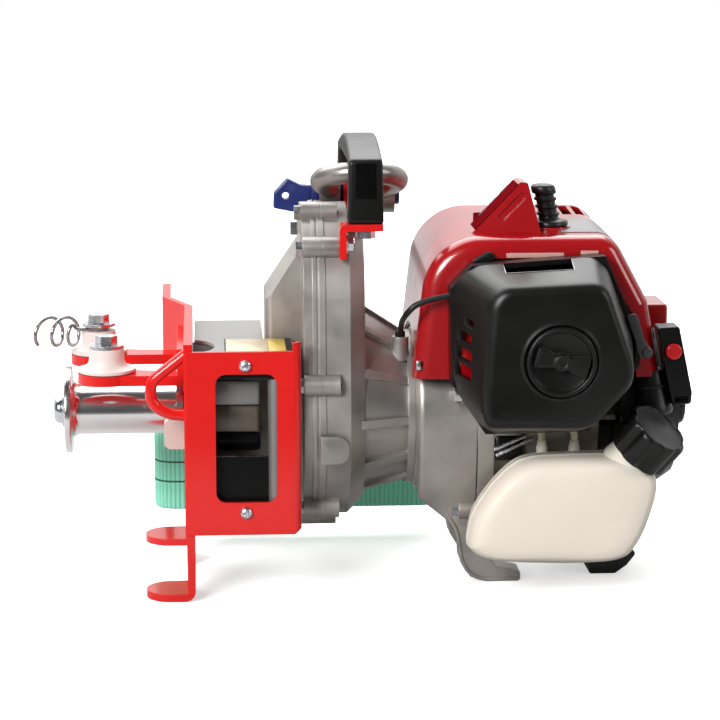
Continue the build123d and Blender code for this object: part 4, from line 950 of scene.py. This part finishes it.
# %% Linkage
ROD_ENDS = [((75.2, -51.3, 82.2), (94.2, -51.3, 90.4)), ((76.4, -51.3, 78.6), (98.2, -51.3, 88.7))]


def round_rods(ends, radius):
    """Straight round rods with eased tips."""
    bm = bmesh.new()
    for start, end in ends:
        run = Vector(end) - Vector(start)
        profile = [(0, 0.5 * radius), (0.4, radius), (run.length - 0.4, radius), (run.length, 0.5 * radius)]
        loft(lathe(start, run, profile, 16), bm=bm)
    return bm


trim("linkage_guard", "black_plastic", bar(76, 93.5, -50.2, -42, 75.5, 90, 0.8))
trim("linkage_rods", "zinc", round_rods(ROD_ENDS, 1.15))
print(len(ROD_ENDS), "linkage rods")

# %% Stand bead and notch rim
BEAD = [
    (46.4, 45.6), (50.6, 38.6), (54.4, 32.4), (56, 26), (57, 18), (58.2, 12.6), (61, 7.4), (64.6, 3.8),
    (69, 2), (74, 1.3), (91.6, 1.3),
]
BEAD_Y, BEAD_RADIUS, RIM_RADIUS = 41, 1.2, 0.3
NOTCH_RIM = [(77, -72.3, 195.2), (77, -87, 191.7), (116, -87, 193.6), (116, -72.3, 197.6)]


def tube(points, radius, count=14):
    """Round bar along a path in one upright plane."""
    path = [Vector(p) for p in points]
    turns = [2 * pi * n / count for n in range(count)]
    rings = []
    for k, point in enumerate(path):
        run = (path[min(k + 1, len(path) - 1)] - path[max(k - 1, 0)]).normalized()
        across = run.cross(Vector((0, 1, 0)))
        ring = [point + (Vector((0, cos(a), 0)) + across * sin(a)) * radius for a in turns]
        rings.append([p * MM for p in ring])
    return loft(rings)


for y, word in ((-BEAD_Y, "near"), (BEAD_Y, "far")):
    trim("stand_bead_" + word, "cast_aluminium", tube([(x, y, z) for x, z in BEAD], BEAD_RADIUS))
rim_bm = round_rods(list(zip(NOTCH_RIM, NOTCH_RIM[1:])), RIM_RADIUS)
trim("notch_rim", "wire", rim_bm, "cleaner_cover")
print("stand beads of", len(BEAD), "rings each")

# %% [markdown]
# ## Case seam
# A raised seam with a groove runs round the gear case where its halves meet. The case's outline is a low
# and a top circle with their tangents, so the seam is that outline drawn out at a few places along X. A
# displaced texture would blur the groove, and the mesh is light.

# %% Case seam
# Place along X, and how far the outline is drawn out.
SEAM = [
    (-31, -1), (-31, 0.5), (-30.7, 0.8), (-28.4, 0.8), (-28.1, 0.1), (-27.3, 0.1), (-27, 0.8),
    (-23.4, 0.8), (-23, 0.4), (-23, -1),
]
CASE_LOW, CASE_TOP = (64, 99), (56, 166.5)


def case_ring(x, grow):
    """The gear case's outline at one X, drawn out by a distance."""
    (low, low_z), (top, top_z) = CASE_LOW, CASE_TOP
    lean = asin((low - top) / (top_z - low_z))
    over = [lean + (pi - 2 * lean) * k / 47 for k in range(48)]
    under = [pi - lean + (pi + 2 * lean) * k / 47 for k in range(48)]
    ring = [Vector((x, (top + grow) * cos(a), top_z + (top + grow) * sin(a))) for a in over]
    ring += [Vector((x, (low + grow) * cos(a), low_z + (low + grow) * sin(a))) for a in under]
    return [p * MM for p in ring]


trim("case_seam", "cast_aluminium", endless([case_ring(*step) for step in SEAM]))
print("seam of", len(SEAM), "rings")

# %% [markdown]
# ## Guard screws
# Two pan head screws hold the side guard. Their domed heads are turned, and two crossed blocks cut the
# recess, as a driver's tip would fit it.

# %% Guard screws
SCREW_X, SCREW_Y, SCREW_Z = -70, -74, (138, 52)
SCREW_HEAD = [(0, 3.6), (0.9, 3.6), (1.7, 3.2), (2.3, 2.4), (2.6, 1.2), (2.65, 0.2)]
RECESS_LONG, RECESS_THIN = 2.1, 0.45


def recess(z, wide, high):
    limits = (SCREW_X - wide, SCREW_X + wide, SCREW_Y - 4, SCREW_Y - 1.4, z - high, z + high)
    return shape("recess", bar(*limits, soft=0.1))


screws, recesses = bmesh.new(), []
for z in SCREW_Z:
    loft(lathe((SCREW_X, SCREW_Y, z), NEAR, SCREW_HEAD, 32), bm=screws)
    recesses += [recess(z, RECESS_LONG, RECESS_THIN), recess(z, RECESS_THIN, RECESS_LONG)]
heads = cut(shape("guard_screw_heads", screws), *recesses)
dress(heads, "zinc", "winch_body", "guard_screws")
print("screw heads of", len(heads.data.polygons), "faces")

# %% [markdown]
# ## Sling
# The anchor sling is woven webbing, an endless loop round the strip at the frame's far end. Fine ribs run
# across it. A bump map would look flat at the edge, so the ribs are real: the band is pushed in and out
# along its length. A thin groove either side of the middle gives the weave its three fields.

# %% Webbing lines
SLING_PLAN = [(-126, 75.6), (56, 75.6), (56, 108.4), (-126, 108.4)]
SLING_LOW, SLING_TOP, SLING_THICK = 17.8, 67.8, 2.8
RIBS, RIB_POINTS, RIB_DEPTH = 138, 8, 0.75
# Share of the width, and how far the band is drawn in there.
HALF_BAND = [(0.0, 0.9), (0.03, 0.2), (0.08, 0), (0.22, 0), (0.26, 0.25), (0.30, 0)]
BAND = HALF_BAND + [(0.5, 0.1)] + [(1 - t, d) for t, d in reversed(HALF_BAND)]


def even_loop(ring, count):
    """The same closed line with its points evenly spaced."""
    lengths = [(ring[k] - ring[k - 1]).length for k in range(len(ring))]
    step = sum(lengths) / count
    made, k, left = [], 0, 0.0
    for n in range(count):
        want = n * step
        while left + lengths[(k + 1) % len(ring)] < want:
            left += lengths[(k + 1) % len(ring)]
            k += 1
        t = (want - left) / lengths[(k + 1) % len(ring)]
        made.append(ring[k % len(ring)].lerp(ring[(k + 1) % len(ring)], t))
    return made


def ribbed(outline, depth, flip, share, ease):
    """One line along the webbing, on its outside or its inside."""
    crest = inset(outline, depth + flip * ease)
    valley = inset(outline, depth + flip * (ease + RIB_DEPTH))
    ribs = [1 - abs(sin(pi * k / RIB_POINTS)) for k in range(len(outline))]
    lifted = [p.lerp(q, rib) for p, q, rib in zip(crest, valley, ribs)]
    return at_z(lifted, SLING_LOW + share * (SLING_TOP - SLING_LOW))


print("band of", len(BAND), "lines,", RIBS, "ribs")

# %% Sling
outline = even_loop(rounded(SLING_PLAN, 16, 12), RIB_POINTS * RIBS)
outside = [ribbed(outline, 0.0, 1, *line) for line in BAND]
inside = [ribbed(outline, SLING_THICK, -1, *line) for line in reversed(BAND)]
sling = shape("sling_webbing", endless(outside + inside), 70)
dress(sling, "webbing", "winch_body", "sling")
print("sling of", len(sling.data.polygons), "faces")

# %% [markdown]
# The valleys between the ribs are painted darker, a painted shade that the Pointiness of the mesh finds.
# Two dark threads run along the webbing. They are mixed in by height, because the band stands upright
# all the way round.

# %% Webbing threads
THREADS = (35.8, 48.4)
VALLEY_SHADE_GREEN, THREAD_GREEN = (0.10, 0.62, 0.40, 1), (0.01, 0.06, 0.035, 1)
PAINTED_GLOW_GREEN, PAINTED_GLOW = (0.20, 0.90, 0.55, 1), 0.05
tree = FINISHES["webbing"].node_tree
shader = tree.nodes["Principled BSDF"].inputs
# Painted shade: the valleys between the ribs take a darker green.
crest = remap(tree, node(tree, "ShaderNodeNewGeometry").outputs["Pointiness"], 0.40, 0.56)
green = mix(tree, crest, VALLEY_SHADE_GREEN, shader["Base Color"].links[0].from_socket)
place_at = split_xyz(tree, node(tree, "ShaderNodeTexCoord").outputs["Object"])
for height in THREADS:
    away = node(tree, "ShaderNodeMath", operation="ABSOLUTE")
    feed(tree, away.inputs[0], combine(tree, "SUBTRACT", place_at["Z"], height * MM))
    green = mix(tree, remap(tree, away.outputs[0], 0.7 * MM, 0.4 * MM), green, THREAD_GREEN)
feed(tree, shader["Base Color"], green)
# Painted light: a faint green glow brightens the webbing, though it is no lamp.
shader["Emission Color"].default_value = PAINTED_GLOW_GREEN
shader["Emission Strength"].default_value = PAINTED_GLOW
print(len(THREADS), "threads along the webbing")

# %% [markdown]
# ## Cable and hoses
# The throttle cable and the two clear hoses are held at both ends, so their shape is fixed. A mesh tube
# would do, but a curve stays easy to change: each is a NURBS curve on its route's own points, with a round
# bevel.

# %% Cable and hoses
CABLE = [(48, -65, 176), (30, -65, 173), (22, -65, 165), (22, -27, 153), (22, -27, 140)]
HOSES = [
    [(103, -55, 84), (103, -55, 104), (93, -49, 120), (93, -49, 134)],
    [(122, -55, 84), (122, -55, 104), (107, -49, 120), (107, -49, 134)],
]


def flexible(name, routes, radius):
    line = bpy.data.curves.new(name, "CURVE")
    line.dimensions = "3D"
    line.bevel_depth, line.bevel_resolution, line.resolution_u = radius * MM, 5, 24
    line.use_fill_caps = True
    for route in routes:
        spline = line.splines.new("NURBS")
        spline.points.add(len(route) - 1)
        for point, place_at in zip(spline.points, route):
            point.co = (*[v * MM for v in place_at], 1.0)
        spline.order_u = 3
        spline.use_endpoint_u = True
    made = bpy.data.objects.new(name, line)
    bpy.context.scene.collection.objects.link(made)
    return made


dress(flexible("cable_sheath", [CABLE], 1.75), "black_rubber", "winch_body", "throttle_cable")
dress(flexible("fuel_lines", HOSES, 2.2), "hose", "winch_body", "fuel_hoses")
print("cable and", len(HOSES), "hoses")

# %% [markdown]
# ## Camera
# The camera looks from a little above and slightly left of square, with a long lens, so the winch is shown
# almost without perspective.

# %% Camera
LENS_MM, STAND_OFF = 125.0, 1.5
CAMERA_AZIMUTH, CAMERA_ELEVATION = radians(-3.5), radians(10.5)
AIM = Vector((0.0, 0.0, 0.127))


def look(azimuth, elevation):
    return Vector((sin(azimuth) * cos(elevation), -cos(azimuth) * cos(elevation), sin(elevation)))


def turned_to(made, place_at, aim):
    """Moves an object to a place and turns its front to an aim."""
    made.location = place_at
    made.rotation_euler = (Vector(aim) - Vector(place_at)).to_track_quat("-Z", "Y").to_euler()
    bpy.context.scene.collection.objects.link(made)
    return made


lens = bpy.data.cameras.new("camera")
lens.lens, lens.sensor_width = LENS_MM, 36.0
seat = AIM + look(CAMERA_AZIMUTH, CAMERA_ELEVATION) * STAND_OFF
camera = turned_to(bpy.data.objects.new("camera", lens), seat, AIM)
bpy.context.scene.camera = camera
print("camera", [round(v, 3) for v in camera.location])

# %% [markdown]
# ## Floor
# The floor is pale paper that runs on to the back. To the camera it glows a little more with distance, so
# that floor and background meet without a line. What the winch mirrors of it is darker near the camera,
# as a studio's front is, and that gives plated and glossy faces contrast.

# %% Floor
FLOOR_HALF, PALE = 7.0, (0.93, 0.93, 0.93, 1)
corners = [(-FLOOR_HALF, -FLOOR_HALF), (FLOOR_HALF, -FLOOR_HALF), (FLOOR_HALF, FLOOR_HALF),
           (-FLOOR_HALF, FLOOR_HALF)]
mesh = bpy.data.meshes.new("floor")
mesh.from_pydata([(x, y, 0) for x, y in corners], [], [(0, 1, 2, 3)])
floor = turned_to(bpy.data.objects.new("floor", mesh), (0, 0, -0.2 * MM), (0, 0, -1))
paper = bpy.data.materials.new("floor_white")
paper.use_nodes = True
floor.data.materials.append(paper)
tree = paper.node_tree
shader = tree.nodes["Principled BSDF"].inputs
shader["Roughness"].default_value = 0.9
shader["Emission Color"].default_value = (1, 1, 1, 1)
rays = node(tree, "ShaderNodeLightPath").outputs
place_at = split_xyz(tree, node(tree, "ShaderNodeNewGeometry").outputs["Position"])
mirrored = remap(tree, place_at["Y"], -0.52, -0.36, 0.04, 0.5)
unseen = mix(tree, rays["Is Glossy Ray"], (0.3, 0.3, 0.3, 1), mirrored)
feed(tree, shader["Base Color"], mix(tree, rays["Is Camera Ray"], unseen, PALE))
distance = remap(tree, place_at["Y"], 0.4, 1.6, 0.5, 1.0)
feed(tree, shader["Emission Strength"], combine(tree, "MULTIPLY", rays["Is Camera Ray"], distance))
print("floor", 2 * FLOOR_HALF, "m wide")

# %% [markdown]
# ## Light and room
# Three wide area lights give soft shadows: one over the back, one at the front left and a weak one at the
# right. The room is white behind the winch, and dim on the camera's side and far to the left.

# %% Light and room
# Place, width and height, power in watts.
LIGHTS = {
    "top_light": ((-0.3, 0.9, 1.5), (2.6, 1.6), 44),
    "front_light": ((-1.2, -1.7, 1.1), (0.9, 0.9), 50),
    "right_light": ((1.7, -1.0, 0.9), (0.7, 0.9), 9),
}
for name, (place_at, size, power) in LIGHTS.items():
    light = bpy.data.lights.new(name, "AREA")
    light.shape = "RECTANGLE"
    light.size, light.size_y = size
    light.energy = power
    turned_to(bpy.data.objects.new(name, light), place_at, AIM)

world = bpy.data.worlds.new("studio")
bpy.context.scene.world = world
world.use_nodes = True
tree = world.node_tree
background = tree.nodes["Background"].inputs
background["Color"].default_value = (1, 1, 1, 1)
way = split_xyz(tree, node(tree, "ShaderNodeTexCoord").outputs["Generated"])
behind = remap(tree, way["Y"], -0.1, 0.5, 0.08, 1.0)
left = remap(tree, way["X"], -0.9, -0.5, 0.45, 1.0)
room = combine(tree, "MULTIPLY", behind, left)
seen = node(tree, "ShaderNodeLightPath").outputs["Is Camera Ray"]
feed(tree, background["Strength"], combine(tree, "MAXIMUM", room, seen))
bpy.context.scene.view_settings.view_transform = "Standard"
print(len(LIGHTS), "lights in a white room")
